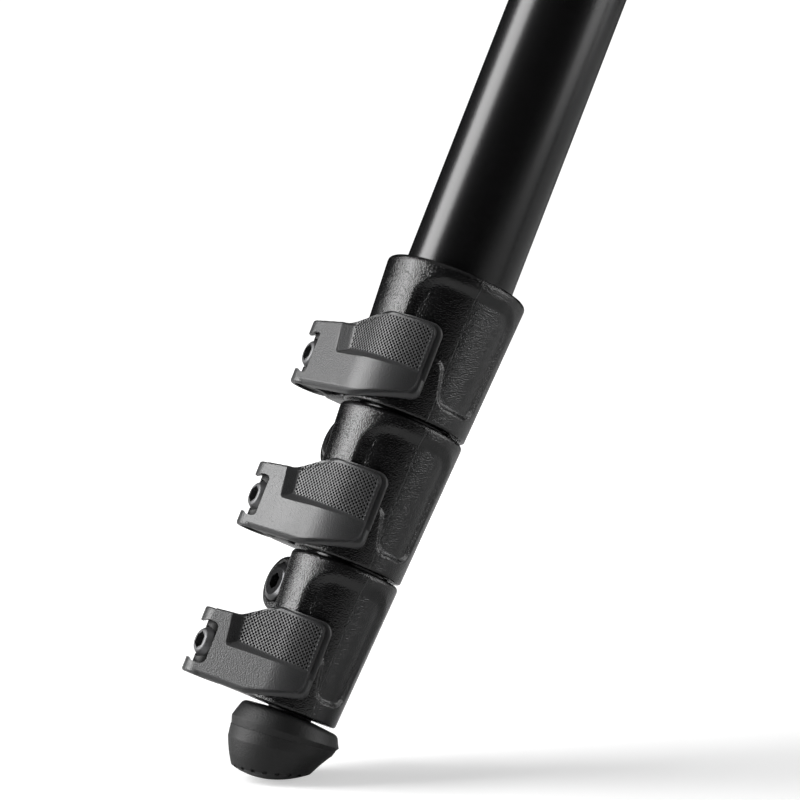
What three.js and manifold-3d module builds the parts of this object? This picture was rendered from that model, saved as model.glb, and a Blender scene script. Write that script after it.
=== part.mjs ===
// Camera tripod of travel size: three legs of four nested tubes with lever locks, a shoulder casting,
// a centre column and a top plate with a camera screw. The legs stand spread, with every section in.
// Millimetres, +Z up. The origin is the centre of the camera screw's flat top end.

import * as THREE from 'three';
import { mergeVertices } from 'three/addons/utils/BufferGeometryUtils.js';
import Module from 'manifold-3d';

const wasm = await Module();
wasm.setup();

// Shared clearances and counts
const clearance = 0.3;
const overrun = 2;
const roundSides = 20;
const middleSides = 12;
const smallSides = 8;
const hexSides = 6;
const arcSteps = 7;
const cornerSteps = 3;

// Legs as a set: angles are degrees, azimuths are seen from above, counted from +X
const legCount = 3;
const firstLegAzimuth = 210;
const legSpread = 24;
const hingeCircleRadius = 38;
const legLength = 380;

// Leg tubes: each one slides in the one before it
const tubeCount = 4;
const firstTubeRadius = 11.25;
const tubeWall = 1.2;
const tubeGap = 0.55;
const tubeEndStep = 4;
const lockSeatDepth = 15;

// Lock collars: a cone that narrows downwards, clamped on one tube and holding the next one
const lockHeight = 30.3;
const lockGap = 0.5;
const lockTopWall = 3.45;
const lockBottomWall = 3.4;
const lockTopRounding = 1;
const lockBottomRounding = 0.5;
const firstLockTurn = -6;
const lockTurnStep = 3;
const splitWidth = 1.6;

// Hollow panel on a collar's side, in a direction seen from above, with shares of the collar's radius
const panelAzimuth = 80;
const panelDepth = 0.7;
const panelTopMargin = 3.4;
const panelBottomMargin = 3.9;
const panelLeftShare = -0.71;
const panelRightShare = 0.74;
const panelNeckShare = -0.1;
const panelFootShare = 0.06;
const panelNeckHeightShare = 0.39;

// Fixed clamp at a collar's upper end: a boss across the split, with a cap screw's head in its face
const bossRadius = 5.7;
const firstBossHalfLength = 5.6;
const bossGrowth = 0.7;
const bossDrop = 7.1;
const clampScrewRadius = 2;
const clampWall = 1.2;
const clampHeadRadius = 4;
const clampHeadHeight = 0.9;
const clampSocketRadius = 1.9;
const socketDepth = 2;

// Lever and its pivot: its outline is given in plan and in one side view, from an azimuth of its own
const leverGap = 0.35;
const leverThickness = 2.5;
const leverEndAzimuth = 71;
const leverSideAzimuth = 62;
const pivotX = 16.1;
const barrelRadius = 4.2;
const tabHeight = 2.9;
const notchHeight = 7.6;
const notchRadius = 5;
const paddleTop = 18.2;
const paddleBottom = 3;
const paddleCorner = 2;
const rampInset = 7;
const rampLength = 6;
const taperInset = 13;

// Tension screw of a lever lock: a cross pin in the lever's tabs, a shank through the ears and a nut
const pinRadius = 2.8;
const pinInset = 0.4;
const screwHeadRadius = 3.1;
const screwHeadReach = 3.3;
const screwSocketRadius = 1.9;
const screwSocketDepth = 1.5;
const nutRadius = 3.6;
const nutHeight = 3;
const earInset = 1;
const earHalfWidth = 3.6;
const nutEarReach = 10;

// Foot: rubber, with a domed sole that slants towards the floor by degrees, and a stem in the last tube
const footDomeRadius = 18;
const footSoleRadius = 8.2;
const footWidestRadius = 11;
const footTopRadius = 9.1;
const footWidestHeight = 9.9;
const footEdgeRounding = 0.8;
const footHeight = 13;
const footStemLength = 12;
const footToLock = 0.4;
const footSlant = 9.5;
const domeSteps = 3;

// Knuckle: the leg's top casting, a tube socket below a hinge eye
const neckLength = 15;
const socketWall = 2.05;
const socketLength = 26;
const socketRoof = 3;
const eyeRadius = 9.5;
const eyeWidth = 15.6;
const neckHalfDepth = 8;

// Angle latch: a U-shaped catch on top of the knuckle's socket, round the neck
const latchHalfWidth = 12;
const latchHeight = 3.7;
const latchBack = 4;
const latchPull = 15.5;
const latchTabHalfWidth = 7;
const latchShoulder = 12.5;

// Hinge bolt
const boltRadius = 3;
const boltHeadRadius = 5;
const boltHeadHeight = 2.2;
const boltSocketRadius = 2.4;

// Shoulder casting: a hub round the column bush, three pairs of ears and a boss for the column lock
const hubRadius = 17.5;
const hubAbove = 12;
const hubBelow = 13;
const earRadius = 10;
const earThickness = 5;
const knobAzimuth = 30;
const knobBossRadius = 6.5;
const knobBossReach = 22;

// Centre column and its bush
const columnRadius = 11;
const columnWall = 1.4;
const columnLength = 230;
const bushWall = 2.1;
const bushFlangeRadius = 16.5;
const bushFlangeHeight = 2;
const bushTail = 3;

// Top plate, pad and camera screw: the stud is a 3/8 inch camera thread
const studRadius = 4.76;
const studHeight = 9.5;
const studChamfer = 0.8;
const padHeight = 1.5;
const padEdge = 0.6;
const plateRadius = 20;
const plateHeight = 6.7;
const plateEdge = 1;
const plateSocketRadius = 14.5;
const plateSocketLength = 12;
const screwFlangeRadius = 8;
const screwFlangeHeight = 3.2;

// Column lock knob
const knobShaftRadius = 3;
const knobRadius = 11;
const knobLength = 14;
const knobEdge = 1.5;
const knobGrooveRadius = 2.6;
const knobGrooves = 8;

// Column end cap and weight hook
const capRadius = 12.2;
const capHeight = 3;
const capPlugLength = 10;
const hookStemRadius = 2;
const hookTravel = 10;
const hookStopRadius = 4;
const hookStopHeight = 2;
const hookRingRadius = 6.5;
const hookWireRadius = 1.5;
const ringSteps = 16;
const wireSides = 6;

// Sizes worked out from the ones above
const firstAzimuth = THREE.MathUtils.degToRad(firstLegAzimuth);
const spread = THREE.MathUtils.degToRad(legSpread);
const tubeRadius = (index) => firstTubeRadius - index * (tubeWall + tubeGap);
const lockBottom = (index) =>
  footHeight + footToLock - legLength + (tubeCount - 2 - index) * (lockHeight + lockGap);
const lockTopRadius = (index) => tubeRadius(index) + lockTopWall;
const lockBottomRadius = (index) => tubeRadius(index + 1) + lockBottomWall;
const lockTurn = (index) => THREE.MathUtils.degToRad(firstLockTurn + index * lockTurnStep);
const lockRadiusAt = (index, height) =>
  THREE.MathUtils.lerp(lockBottomRadius(index), lockTopRadius(index), height / lockHeight);
const leverInner = (index) => lockRadiusAt(index, paddleTop) + leverGap;
const leverOuter = (index) => leverInner(index) + leverThickness;
const screwY = (index) => -(tubeRadius(index + 1) + clearance + clampWall + clampScrewRadius);
const bossY = (index) => -(tubeRadius(index) + clearance + clampWall + clampScrewRadius);
const leverHeight = 2 * tabHeight + notchHeight;
const screwHeight = leverHeight / 2;
const padTop = -studHeight;
const plateTop = padTop - padHeight - clearance;
const plateBottom = plateTop - plateHeight;
const plateSocketBottom = plateBottom - plateSocketLength;
const bushTop = plateSocketBottom - clearance;
const hubTop = bushTop - bushFlangeHeight - clearance;
const hingeHeight = hubTop - hubAbove;
const hubBottom = hingeHeight - hubBelow;
const columnTop = plateBottom - clearance;
const columnBottom = columnTop - columnLength;
const bushRadius = columnRadius + clearance + bushWall;
const socketTop = -neckLength;
const socketRadius = firstTubeRadius + clearance + socketWall;
const earsHalfGap = eyeWidth / 2 + clearance;
const earsHalfWidth = earsHalfGap + earThickness;

// Materials by colour, roughness and metalness
const looks = {
  tube: [0x17181a, 0.38, 0.7],
  lock: [0x1b1c1d, 0.45, 0],
  lever: [0x3a3b3d, 0.62, 0],
  screw: [0x101112, 0.3, 0.8],
  rubber: [0x1f2022, 0.85, 0],
  casting: [0x1c1d1f, 0.5, 0.4],
  catch: [0x4a4c4f, 0.5, 0.2],
  pad: [0x242424, 0.9, 0],
  steel: [0x9a9da0, 0.3, 1],
};

// A closed solid of a geometry, with its shared corners merged and its flat-out slivers dropped
function solidOf(geometry) {
  const bare = geometry.index ? geometry.toNonIndexed() : geometry.clone();
  bare.deleteAttribute('normal');
  bare.deleteAttribute('uv');
  const merged = mergeVertices(bare);
  const corners = merged.index.array;
  const kept = [];
  for (let i = 0; i < corners.length; i += 3) {
    const [a, b, c] = corners.slice(i, i + 3);
    if (a !== b && b !== c && c !== a) kept.push(a, b, c);
  }
  return new wasm.Manifold(
    new wasm.Mesh({
      numProp: 3,
      vertProperties: merged.attributes.position.array,
      triVerts: new Uint32Array(kept),
    }),
  );
}

// A solid of revolution about Z from a closed outline of [radius, height] points, outside going up
function turned(outline, sides = roundSides) {
  const points = outline.map(([radius, height]) => new THREE.Vector2(radius, height));
  const geometry = new THREE.LatheGeometry(points, sides);
  return solidOf(geometry.rotateX(Math.PI / 2));
}

// A tube about Z between two heights
function ring(outer, inner, bottom, top, sides = roundSides) {
  return turned([[inner, bottom], [outer, bottom], [outer, top], [inner, top], [inner, bottom]], sides);
}

// A rod along Z between two heights, moved sideways
function rodZ(radius, bottom, top, x = 0, y = 0, sides = smallSides) {
  const geometry = new THREE.CylinderGeometry(radius, radius, top - bottom, sides);
  return solidOf(geometry.rotateX(Math.PI / 2).translate(x, y, (bottom + top) / 2));
}

// A rod along X between two places
function rodX(radius, from, to, y = 0, z = 0, sides = smallSides) {
  const geometry = new THREE.CylinderGeometry(radius, radius, to - from, sides);
  return solidOf(geometry.rotateZ(-Math.PI / 2).translate((from + to) / 2, y, z));
}

// A rod along Y between two places
function rodY(radius, from, to, x = 0, z = 0, sides = smallSides) {
  const geometry = new THREE.CylinderGeometry(radius, radius, to - from, sides);
  return solidOf(geometry.translate(x, (from + to) / 2, z));
}

// A block from its low corner to its high corner
function block([x0, y0, z0], [x1, y1, z1]) {
  const geometry = new THREE.BoxGeometry(x1 - x0, y1 - y0, z1 - z0);
  return solidOf(geometry.translate((x0 + x1) / 2, (y0 + y1) / 2, (z0 + z1) / 2));
}

// An upright prism from an outline in plan
function prismZ(shape, bottom, top, steps = arcSteps) {
  const settings = { depth: top - bottom, bevelEnabled: false, curveSegments: steps };
  return solidOf(new THREE.ExtrudeGeometry(shape, settings).translate(0, 0, bottom));
}

// A level prism from an outline seen from the side: it runs towards the azimuth from near to far
function prismTowards(shape, azimuth, near, far, steps = arcSteps) {
  const settings = { depth: far - near, bevelEnabled: false, curveSegments: steps };
  const geometry = new THREE.ExtrudeGeometry(shape, settings).translate(0, 0, near);
  return solidOf(geometry.rotateX(Math.PI / 2).rotateZ(azimuth + Math.PI / 2));
}

// A named mesh of a solid, with a material of its own
function part(name, solid, look) {
  const { vertProperties, triVerts, numProp } = solid.getMesh();
  const positions = new Float32Array((vertProperties.length / numProp) * 3);
  for (let i = 0; i < positions.length / 3; i++) {
    positions.set(vertProperties.slice(i * numProp, i * numProp + 3), i * 3);
  }
  const geometry = new THREE.BufferGeometry();
  geometry.setAttribute('position', new THREE.BufferAttribute(positions, 3));
  geometry.setIndex(new THREE.BufferAttribute(new Uint32Array(triVerts), 1));
  const [color, roughness, metalness] = looks[look];
  const mesh = new THREE.Mesh(
    geometry,
    new THREE.MeshStandardMaterial({ color, roughness, metalness, flatShading: true }),
  );
  mesh.name = name;
  return mesh;
}

// Tube of a leg: the upper end sits a step lower than the end of the tube round it
function legTube(index) {
  const top = socketTop - socketRoof - clearance - index * tubeEndStep;
  const lastTube = index === tubeCount - 1;
  const lowest = lastTube ? footHeight - legLength : lockBottom(index) + lockHeight - lockSeatDepth;
  const outer = tubeRadius(index);
  return ring(outer, outer - tubeWall, lowest + clearance, top);
}

// Hollow panel in a collar's side: a flag-like outline, cut to an even depth behind the cone
function collarPanel(index) {
  const top = lockHeight - panelTopMargin;
  const neck = lockHeight * panelNeckHeightShare;
  const wide = lockRadiusAt(index, top);
  const narrow = lockRadiusAt(index, panelBottomMargin);
  const outline = new THREE.Shape([
    new THREE.Vector2(wide * panelLeftShare, top),
    new THREE.Vector2(wide * panelLeftShare, neck),
    new THREE.Vector2(wide * panelNeckShare, neck),
    new THREE.Vector2(narrow * panelFootShare, panelBottomMargin),
    new THREE.Vector2(narrow * panelRightShare, panelBottomMargin),
    new THREE.Vector2(wide * panelRightShare, top),
  ]);
  const azimuth = THREE.MathUtils.degToRad(panelAzimuth) - lockTurn(index);
  const core = turned([
    [0, -overrun],
    [lockBottomRadius(index) - panelDepth, -overrun],
    [lockBottomRadius(index) - panelDepth, 0],
    [lockTopRadius(index) - panelDepth, lockHeight],
    [lockTopRadius(index) - panelDepth, lockHeight + overrun],
    [0, lockHeight + overrun],
  ]);
  return prismTowards(outline, azimuth, 0, lockTopRadius(index) + overrun).subtract(core);
}

// Lock collar: cone, ears for the lever's screw, and the fixed clamp's boss with its screw head
function lockCollar(index) {
  const bottomRadius = lockBottomRadius(index);
  const topRadius = lockTopRadius(index);
  const cone = turned([
    [0, 0],
    [bottomRadius - lockBottomRounding, 0],
    [bottomRadius, lockBottomRounding],
    [topRadius, lockHeight - lockTopRounding],
    [topRadius - lockTopRounding, lockHeight],
    [0, lockHeight],
  ]);
  const y = screwY(index);
  const earFace = pivotX - barrelRadius - leverGap;
  const ears = block(
    [-nutEarReach, y - earHalfWidth, earInset],
    [earFace, y + bottomRadius / 2, leverHeight - earInset],
  );
  const bossZ = lockHeight - bossDrop;
  const bossFace = firstBossHalfLength + index * bossGrowth;
  const boss = rodX(bossRadius, -bossFace, bossFace, bossY(index), bossZ, middleSides);
  const headFace = bossFace + clampHeadHeight;
  const head = rodX(clampHeadRadius, bossFace - clampHeadHeight, headFace, bossY(index), bossZ, middleSides);
  const socket = rodX(
    clampSocketRadius, headFace - socketDepth, headFace + overrun, bossY(index), bossZ, hexSides,
  );
  const split = block(
    [-splitWidth / 2, bossY(index) - bossRadius - overrun, -overrun],
    [splitWidth / 2, 0, lockHeight + overrun],
  );
  const upperBore = rodZ(
    tubeRadius(index) + clearance, lockHeight - lockSeatDepth, lockHeight + overrun, 0, 0, roundSides,
  );
  const lowerBore = rodZ(
    tubeRadius(index + 1) + clearance, -overrun, lockHeight, 0, 0, roundSides,
  );
  const screwHole = rodX(
    clampScrewRadius + clearance, -nutEarReach - overrun, earFace + overrun, y, screwHeight,
  );
  return cone
    .add(ears)
    .add(boss)
    .subtract(split)
    .add(head)
    .subtract(socket)
    .subtract(upperBore)
    .subtract(lowerBore)
    .subtract(screwHole)
    .subtract(collarPanel(index));
}

// Lever of a lock: an arc round the collar that runs straight to two tabs round the pivot
function lockLever(index) {
  const outer = leverOuter(index);
  const x = pivotX;
  const y = screwY(index);
  const end = THREE.MathUtils.degToRad(leverEndAzimuth);
  const lean = Math.atan2(y, x) + Math.acos((outer - barrelRadius) / Math.hypot(x, y));
  const wrap = Math.acos((barrelRadius - leverThickness) / barrelRadius);
  const plan = new THREE.Shape();
  plan.absarc(0, 0, outer, end, lean, true);
  plan.absarc(x, y, barrelRadius, lean, lean + wrap, true);
  plan.absarc(0, 0, leverInner(index), lean, end, false);
  const seenFrom = THREE.MathUtils.degToRad(leverSideAzimuth) - lockTurn(index);
  const right = outer * Math.sin(end - seenFrom);
  const left = -(x * Math.sin(seenFrom) - y * Math.cos(seenFrom)) - barrelRadius;
  const side = new THREE.Shape();
  side.moveTo(left - overrun, 0);
  side.lineTo(left + taperInset, 0);
  side.lineTo(right - paddleCorner, paddleBottom);
  side.absarc(right - paddleCorner, paddleBottom + paddleCorner, paddleCorner, -Math.PI / 2, 0, false);
  side.absarc(right - paddleCorner, paddleTop - paddleCorner, paddleCorner, 0, Math.PI / 2, false);
  side.lineTo(left + rampInset + rampLength, paddleTop);
  side.lineTo(left + rampInset, leverHeight);
  side.lineTo(left - overrun, leverHeight);
  const reach = Math.hypot(x, y) + barrelRadius + overrun;
  return prismZ(plan, -overrun, paddleTop + overrun)
    .intersect(prismTowards(side, seenFrom, -reach, reach, cornerSteps))
    .subtract(rodZ(notchRadius, tabHeight, tabHeight + notchHeight, x, y, middleSides))
    .subtract(rodZ(pinRadius + clearance, -overrun, leverHeight + overrun, x, y));
}

// Tension screw: cross pin in the tabs, head in the notch, shank through the ears and a nut
function tensionScrew(index) {
  const x = pivotX;
  const y = screwY(index);
  const headFace = x + screwHeadReach;
  const nutFace = -nutEarReach - clearance;
  return rodZ(pinRadius, pinInset, leverHeight - pinInset, x, y)
    .add(rodX(clampScrewRadius, nutFace - nutHeight, x, y, screwHeight))
    .add(rodX(screwHeadRadius, x, headFace, y, screwHeight, middleSides))
    .add(rodX(nutRadius, nutFace - nutHeight, nutFace, y, screwHeight, hexSides))
    .subtract(
      rodX(screwSocketRadius, headFace - screwSocketDepth, headFace + overrun, y, screwHeight, hexSides),
    );
}

// Foot: domed sole, flaring side, widest ring near the top and a stem; it slants more towards the sole
function legFoot() {
  const dome = [];
  const domeEdge = Math.asin(footSoleRadius / footDomeRadius);
  for (let i = 0; i <= domeSteps; i++) {
    const angle = (domeEdge * i) / domeSteps;
    dome.push([footDomeRadius * Math.sin(angle), footDomeRadius * (1 - Math.cos(angle))]);
  }
  const stemRadius = tubeRadius(tubeCount - 1) - tubeWall - clearance;
  const outline = [
    ...dome,
    [footWidestRadius, footWidestHeight - footEdgeRounding / 2],
    [footWidestRadius, footWidestHeight + footEdgeRounding / 2],
    [footTopRadius, footHeight],
    [stemRadius, footHeight],
    [stemRadius, footHeight + footStemLength],
    [0, footHeight + footStemLength],
  ];
  const points = outline.map(([radius, height]) => new THREE.Vector2(radius, height));
  const geometry = new THREE.LatheGeometry(points, roundSides).rotateX(Math.PI / 2);
  const position = geometry.getAttribute('position');
  const slope = Math.tan(THREE.MathUtils.degToRad(footSlant));
  for (let i = 0; i < position.count; i++) {
    const depth = Math.max(0, 1 - position.getZ(i) / footHeight);
    position.setZ(i, position.getZ(i) - position.getX(i) * slope * Math.sqrt(depth));
  }
  return solidOf(geometry);
}

// Knuckle: socket for the upper tube, neck and hinge eye
function legKnuckle() {
  const outer = socketRadius;
  const bottom = socketTop - socketLength;
  return rodZ(outer, bottom, socketTop, 0, 0, roundSides)
    .add(rodY(eyeRadius, -eyeWidth / 2, eyeWidth / 2, 0, 0, roundSides))
    .add(block(
      [-neckHalfDepth, -eyeWidth / 2, socketTop - socketRoof / 2],
      [neckHalfDepth, eyeWidth / 2, 0],
    ))
    .subtract(rodZ(
      firstTubeRadius + clearance, bottom - overrun, socketTop - socketRoof, 0, 0, roundSides,
    ))
    .subtract(rodY(boltRadius + clearance, -eyeWidth, eyeWidth));
}

// Angle latch: two arms beside the neck, joined outside it by the bar that carries the pull tab
function angleLatch() {
  const bottom = socketTop + clearance;
  const top = bottom + latchHeight;
  const neckFace = neckHalfDepth + clearance;
  const neckSide = eyeWidth / 2 + clearance;
  return block([-latchBack, -latchHalfWidth, bottom], [latchShoulder, latchHalfWidth, top])
    .add(block([neckFace, -latchTabHalfWidth, bottom], [latchPull, latchTabHalfWidth, top]))
    .subtract(block(
      [-latchBack - overrun, -neckSide, bottom - overrun],
      [neckFace, neckSide, top + overrun],
    ));
}

// Hinge bolt: shank through ears and eye, a head at each end, a socket in one of them
function hingeBolt() {
  const face = earsHalfWidth + clearance;
  const end = face + boltHeadHeight;
  return rodY(boltRadius, -end, end)
    .add(rodY(boltHeadRadius, face, end, 0, 0, middleSides))
    .add(rodY(boltHeadRadius, -end, -face, 0, 0, middleSides))
    .subtract(rodY(boltSocketRadius, end - socketDepth, end + overrun, 0, 0, hexSides));
}

// Shoulder: hub, three pairs of ears and the boss of the column lock
function shoulder() {
  let body = rodZ(hubRadius, hubBottom, hubTop, 0, 0, roundSides);
  const cuts = [];
  for (let leg = 0; leg < legCount; leg++) {
    const turn = firstAzimuth + (leg * 2 * Math.PI) / legCount;
    const lug = [
      new THREE.BoxGeometry(hingeCircleRadius, 2 * earsHalfWidth, 2 * earRadius)
        .translate(hingeCircleRadius / 2, 0, 0),
      new THREE.CylinderGeometry(earRadius, earRadius, 2 * earsHalfWidth, roundSides)
        .translate(hingeCircleRadius, 0, 0),
    ];
    for (const piece of lug) {
      body = body.add(solidOf(piece.rotateZ(turn).translate(0, 0, hingeHeight)));
    }
    const depth = hingeCircleRadius + earRadius + overrun - hubRadius;
    cuts.push(
      new THREE.BoxGeometry(depth, 2 * earsHalfGap, 2 * (earRadius + overrun))
        .translate(hubRadius + depth / 2, 0, 0)
        .rotateZ(turn)
        .translate(0, 0, hingeHeight),
      new THREE.CylinderGeometry(
        boltRadius + clearance, boltRadius + clearance, 2 * (earsHalfWidth + overrun), smallSides,
      )
        .translate(hingeCircleRadius, 0, 0)
        .rotateZ(turn)
        .translate(0, 0, hingeHeight),
    );
  }
  const knobTurn = THREE.MathUtils.degToRad(knobAzimuth);
  body = body.add(solidOf(
    new THREE.CylinderGeometry(knobBossRadius, knobBossRadius, knobBossReach, middleSides)
      .rotateZ(-Math.PI / 2)
      .translate(knobBossReach / 2, 0, 0)
      .rotateZ(knobTurn)
      .translate(0, 0, hingeHeight),
  ));
  cuts.push(
    new THREE.CylinderGeometry(
      knobShaftRadius + clearance, knobShaftRadius + clearance, knobBossReach + overrun, smallSides,
    )
      .rotateZ(-Math.PI / 2)
      .translate((knobBossReach + overrun) / 2, 0, 0)
      .rotateZ(knobTurn)
      .translate(0, 0, hingeHeight),
  );
  for (const cut of cuts) {
    body = body.subtract(solidOf(cut));
  }
  const bore = bushRadius + clearance;
  return body.subtract(rodZ(bore, hubBottom - overrun, hubTop + overrun, 0, 0, roundSides));
}

// Column bush: a sleeve with a flange on the hub
function columnBush() {
  const inner = columnRadius + clearance;
  return turned([
    [inner, hubBottom - bushTail],
    [bushRadius, hubBottom - bushTail],
    [bushRadius, hubTop + clearance],
    [bushFlangeRadius, hubTop + clearance],
    [bushFlangeRadius, bushTop],
    [inner, bushTop],
    [inner, hubBottom - bushTail],
  ]);
}

// Top plate: a disc with a socket for the column below and a hole for the camera screw
function topPlate() {
  return turned([
    [studRadius + clearance, plateBottom],
    [columnRadius + clearance, plateBottom],
    [columnRadius + clearance, plateSocketBottom],
    [plateSocketRadius, plateSocketBottom],
    [plateSocketRadius, plateBottom],
    [plateRadius - plateEdge, plateBottom],
    [plateRadius, plateBottom + plateEdge],
    [plateRadius, plateTop],
    [studRadius + clearance, plateTop],
    [studRadius + clearance, plateBottom],
  ]);
}

// Pad on the top plate, round the camera screw
function platePad() {
  const hole = studRadius + clearance;
  return turned([
    [hole, padTop - padHeight],
    [plateRadius - padEdge, padTop - padHeight],
    [plateRadius - padEdge, padTop - padEdge],
    [plateRadius - 2 * padEdge, padTop],
    [hole, padTop],
    [hole, padTop - padHeight],
  ]);
}

// Camera screw: a stud with a chamfered end and a flange under the plate
function cameraScrew() {
  const flangeTop = plateBottom - clearance;
  return turned([
    [0, flangeTop - screwFlangeHeight],
    [screwFlangeRadius, flangeTop - screwFlangeHeight],
    [screwFlangeRadius, flangeTop],
    [studRadius, flangeTop],
    [studRadius, -studChamfer],
    [studRadius - studChamfer, 0],
    [0, 0],
  ]);
}

// Column lock knob: scalloped grip, shaft into the hub; it is built along X and turned in place
function lockKnob() {
  const start = bushRadius + clearance;
  const gripStart = knobBossReach + clearance;
  const gripEnd = gripStart + knobLength;
  const grip = new THREE.LatheGeometry(
    [
      [0, gripStart], [knobRadius, gripStart], [knobRadius, gripEnd - knobEdge],
      [knobRadius - knobEdge, gripEnd], [0, gripEnd],
    ].map(([radius, along]) => new THREE.Vector2(radius, along)),
    roundSides,
  );
  let body = solidOf(grip.rotateZ(-Math.PI / 2)).add(rodX(knobShaftRadius, start, gripStart + overrun));
  for (let i = 0; i < knobGrooves; i++) {
    const angle = (i * 2 * Math.PI) / knobGrooves;
    const reach = knobRadius + knobGrooveRadius / 2;
    const groove = rodX(
      knobGrooveRadius, gripStart - overrun, gripEnd + overrun,
      reach * Math.cos(angle), reach * Math.sin(angle), hexSides,
    );
    body = body.subtract(groove);
  }
  return body;
}

// End cap of the column: a plug in the tube and a rim below it, with a hole for the hook's stem
function columnEndCap() {
  const plug = columnRadius - columnWall - clearance;
  const rimTop = columnBottom - clearance;
  const hole = hookStemRadius + clearance;
  return turned([
    [hole, rimTop - capHeight],
    [capRadius - capHeight / 3, rimTop - capHeight],
    [capRadius, rimTop - capHeight * 2 / 3],
    [capRadius, rimTop],
    [plug, rimTop],
    [plug, rimTop + capPlugLength],
    [hole, rimTop + capPlugLength],
    [hole, rimTop - capHeight],
  ]);
}

// Weight hook: a ring on a stem, with a stop above the plug that lets it drop by its travel
function weightHook() {
  const capBottom = columnBottom - clearance - capHeight;
  const stopBottom = columnBottom - clearance + capPlugLength + hookTravel + clearance;
  const centre = capBottom - clearance - hookRingRadius - hookWireRadius;
  const loop = new THREE.TorusGeometry(hookRingRadius, hookWireRadius, wireSides, ringSteps);
  return solidOf(loop.rotateX(Math.PI / 2).translate(0, 0, centre))
    .add(rodZ(hookStemRadius, centre + hookRingRadius, stopBottom + hookStopHeight))
    .add(rodZ(hookStopRadius, stopBottom, stopBottom + hookStopHeight));
}

// One leg, built straight down from its hinge, then spread and turned into place
function addLeg(tripod, number) {
  const name = `leg_${number}`;
  const hinge = new THREE.Group();
  hinge.position.set(hingeCircleRadius, 0, hingeHeight);
  hinge.rotation.y = -spread;
  const place = new THREE.Group();
  place.rotation.z = firstAzimuth + ((number - 1) * 2 * Math.PI) / legCount;
  hinge.add(part(`${name}_knuckle`, legKnuckle(), 'casting'));
  hinge.add(part(`${name}_angle_latch`, angleLatch(), 'catch'));
  for (let index = 0; index < tubeCount; index++) {
    hinge.add(part(`${name}_tube_${index + 1}`, legTube(index), 'tube'));
  }
  for (let index = 0; index < tubeCount - 1; index++) {
    const lock = new THREE.Group();
    lock.position.z = lockBottom(index);
    lock.rotation.z = lockTurn(index);
    lock.add(part(`${name}_lock_${index + 1}_collar`, lockCollar(index), 'lock'));
    lock.add(part(`${name}_lock_${index + 1}_lever`, lockLever(index), 'lever'));
    lock.add(part(`${name}_lock_${index + 1}_screw`, tensionScrew(index), 'screw'));
    hinge.add(lock);
  }
  const foot = part(`${name}_foot`, legFoot(), 'rubber');
  foot.position.z = -legLength;
  hinge.add(foot);
  place.add(hinge);
  const bolt = part(`${name}_hinge_bolt`, hingeBolt(), 'screw');
  bolt.position.copy(hinge.position);
  place.add(bolt);
  tripod.add(place);
}

// The pieces in the middle
function addCentre(tripod) {
  tripod.add(part('shoulder', shoulder(), 'casting'));
  tripod.add(part('column_bush', columnBush(), 'lock'));
  const column = ring(columnRadius, columnRadius - columnWall, columnBottom, columnTop, roundSides);
  tripod.add(part('centre_column', column, 'tube'));
  tripod.add(part('top_plate', topPlate(), 'casting'));
  tripod.add(part('plate_pad', platePad(), 'pad'));
  tripod.add(part('camera_screw', cameraScrew(), 'steel'));
  tripod.add(part('column_end_cap', columnEndCap(), 'lock'));
  tripod.add(part('weight_hook', weightHook(), 'steel'));
  const knob = part('column_lock_knob', lockKnob(), 'lock');
  knob.position.z = hingeHeight;
  knob.rotation.z = THREE.MathUtils.degToRad(knobAzimuth);
  tripod.add(knob);
}

const tripod = new THREE.Group();
addCentre(tripod);
for (let number = 1; number <= legCount; number++) {
  addLeg(tripod, number);
}

export default tripod;
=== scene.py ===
# %% [markdown]
# # A camera tripod with lever locks
# The real object is a travel tripod: three legs of four nested tubes, a clamp with a lever on each of the
# three thicker tubes of a leg, a rubber foot, and a cast shoulder that holds the legs and a centre column.
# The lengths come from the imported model, so every piece here is built in that model's own places.

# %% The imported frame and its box
import math

import bmesh
import bpy
import numpy as np
from mathutils import Matrix, Vector


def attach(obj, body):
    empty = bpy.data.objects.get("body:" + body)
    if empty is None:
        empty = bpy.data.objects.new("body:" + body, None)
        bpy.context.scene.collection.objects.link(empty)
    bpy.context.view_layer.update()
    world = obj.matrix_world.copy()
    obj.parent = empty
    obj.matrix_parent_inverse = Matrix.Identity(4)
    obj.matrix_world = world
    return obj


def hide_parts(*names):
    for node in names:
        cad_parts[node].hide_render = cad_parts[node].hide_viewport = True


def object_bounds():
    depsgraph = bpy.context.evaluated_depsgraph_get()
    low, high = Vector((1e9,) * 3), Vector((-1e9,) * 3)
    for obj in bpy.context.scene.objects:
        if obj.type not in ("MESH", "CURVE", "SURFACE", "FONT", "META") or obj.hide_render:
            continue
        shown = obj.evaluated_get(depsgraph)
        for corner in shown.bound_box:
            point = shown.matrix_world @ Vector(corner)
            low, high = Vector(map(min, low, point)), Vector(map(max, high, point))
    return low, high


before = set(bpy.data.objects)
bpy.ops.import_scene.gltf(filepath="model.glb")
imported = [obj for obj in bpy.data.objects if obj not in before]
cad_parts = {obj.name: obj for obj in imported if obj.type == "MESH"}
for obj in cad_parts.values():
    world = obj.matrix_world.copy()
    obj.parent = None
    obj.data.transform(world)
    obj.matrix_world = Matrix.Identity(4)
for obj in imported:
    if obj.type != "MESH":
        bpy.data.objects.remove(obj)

cad_low, cad_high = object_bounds()

# %% [markdown]
# ## Sizes
# A leg is easiest to think about hanging straight down from its hinge, in millimetres: Z runs up the leg, X
# points outwards and Y sideways. One matrix then spreads it, turns it round the column and makes it metres.

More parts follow.
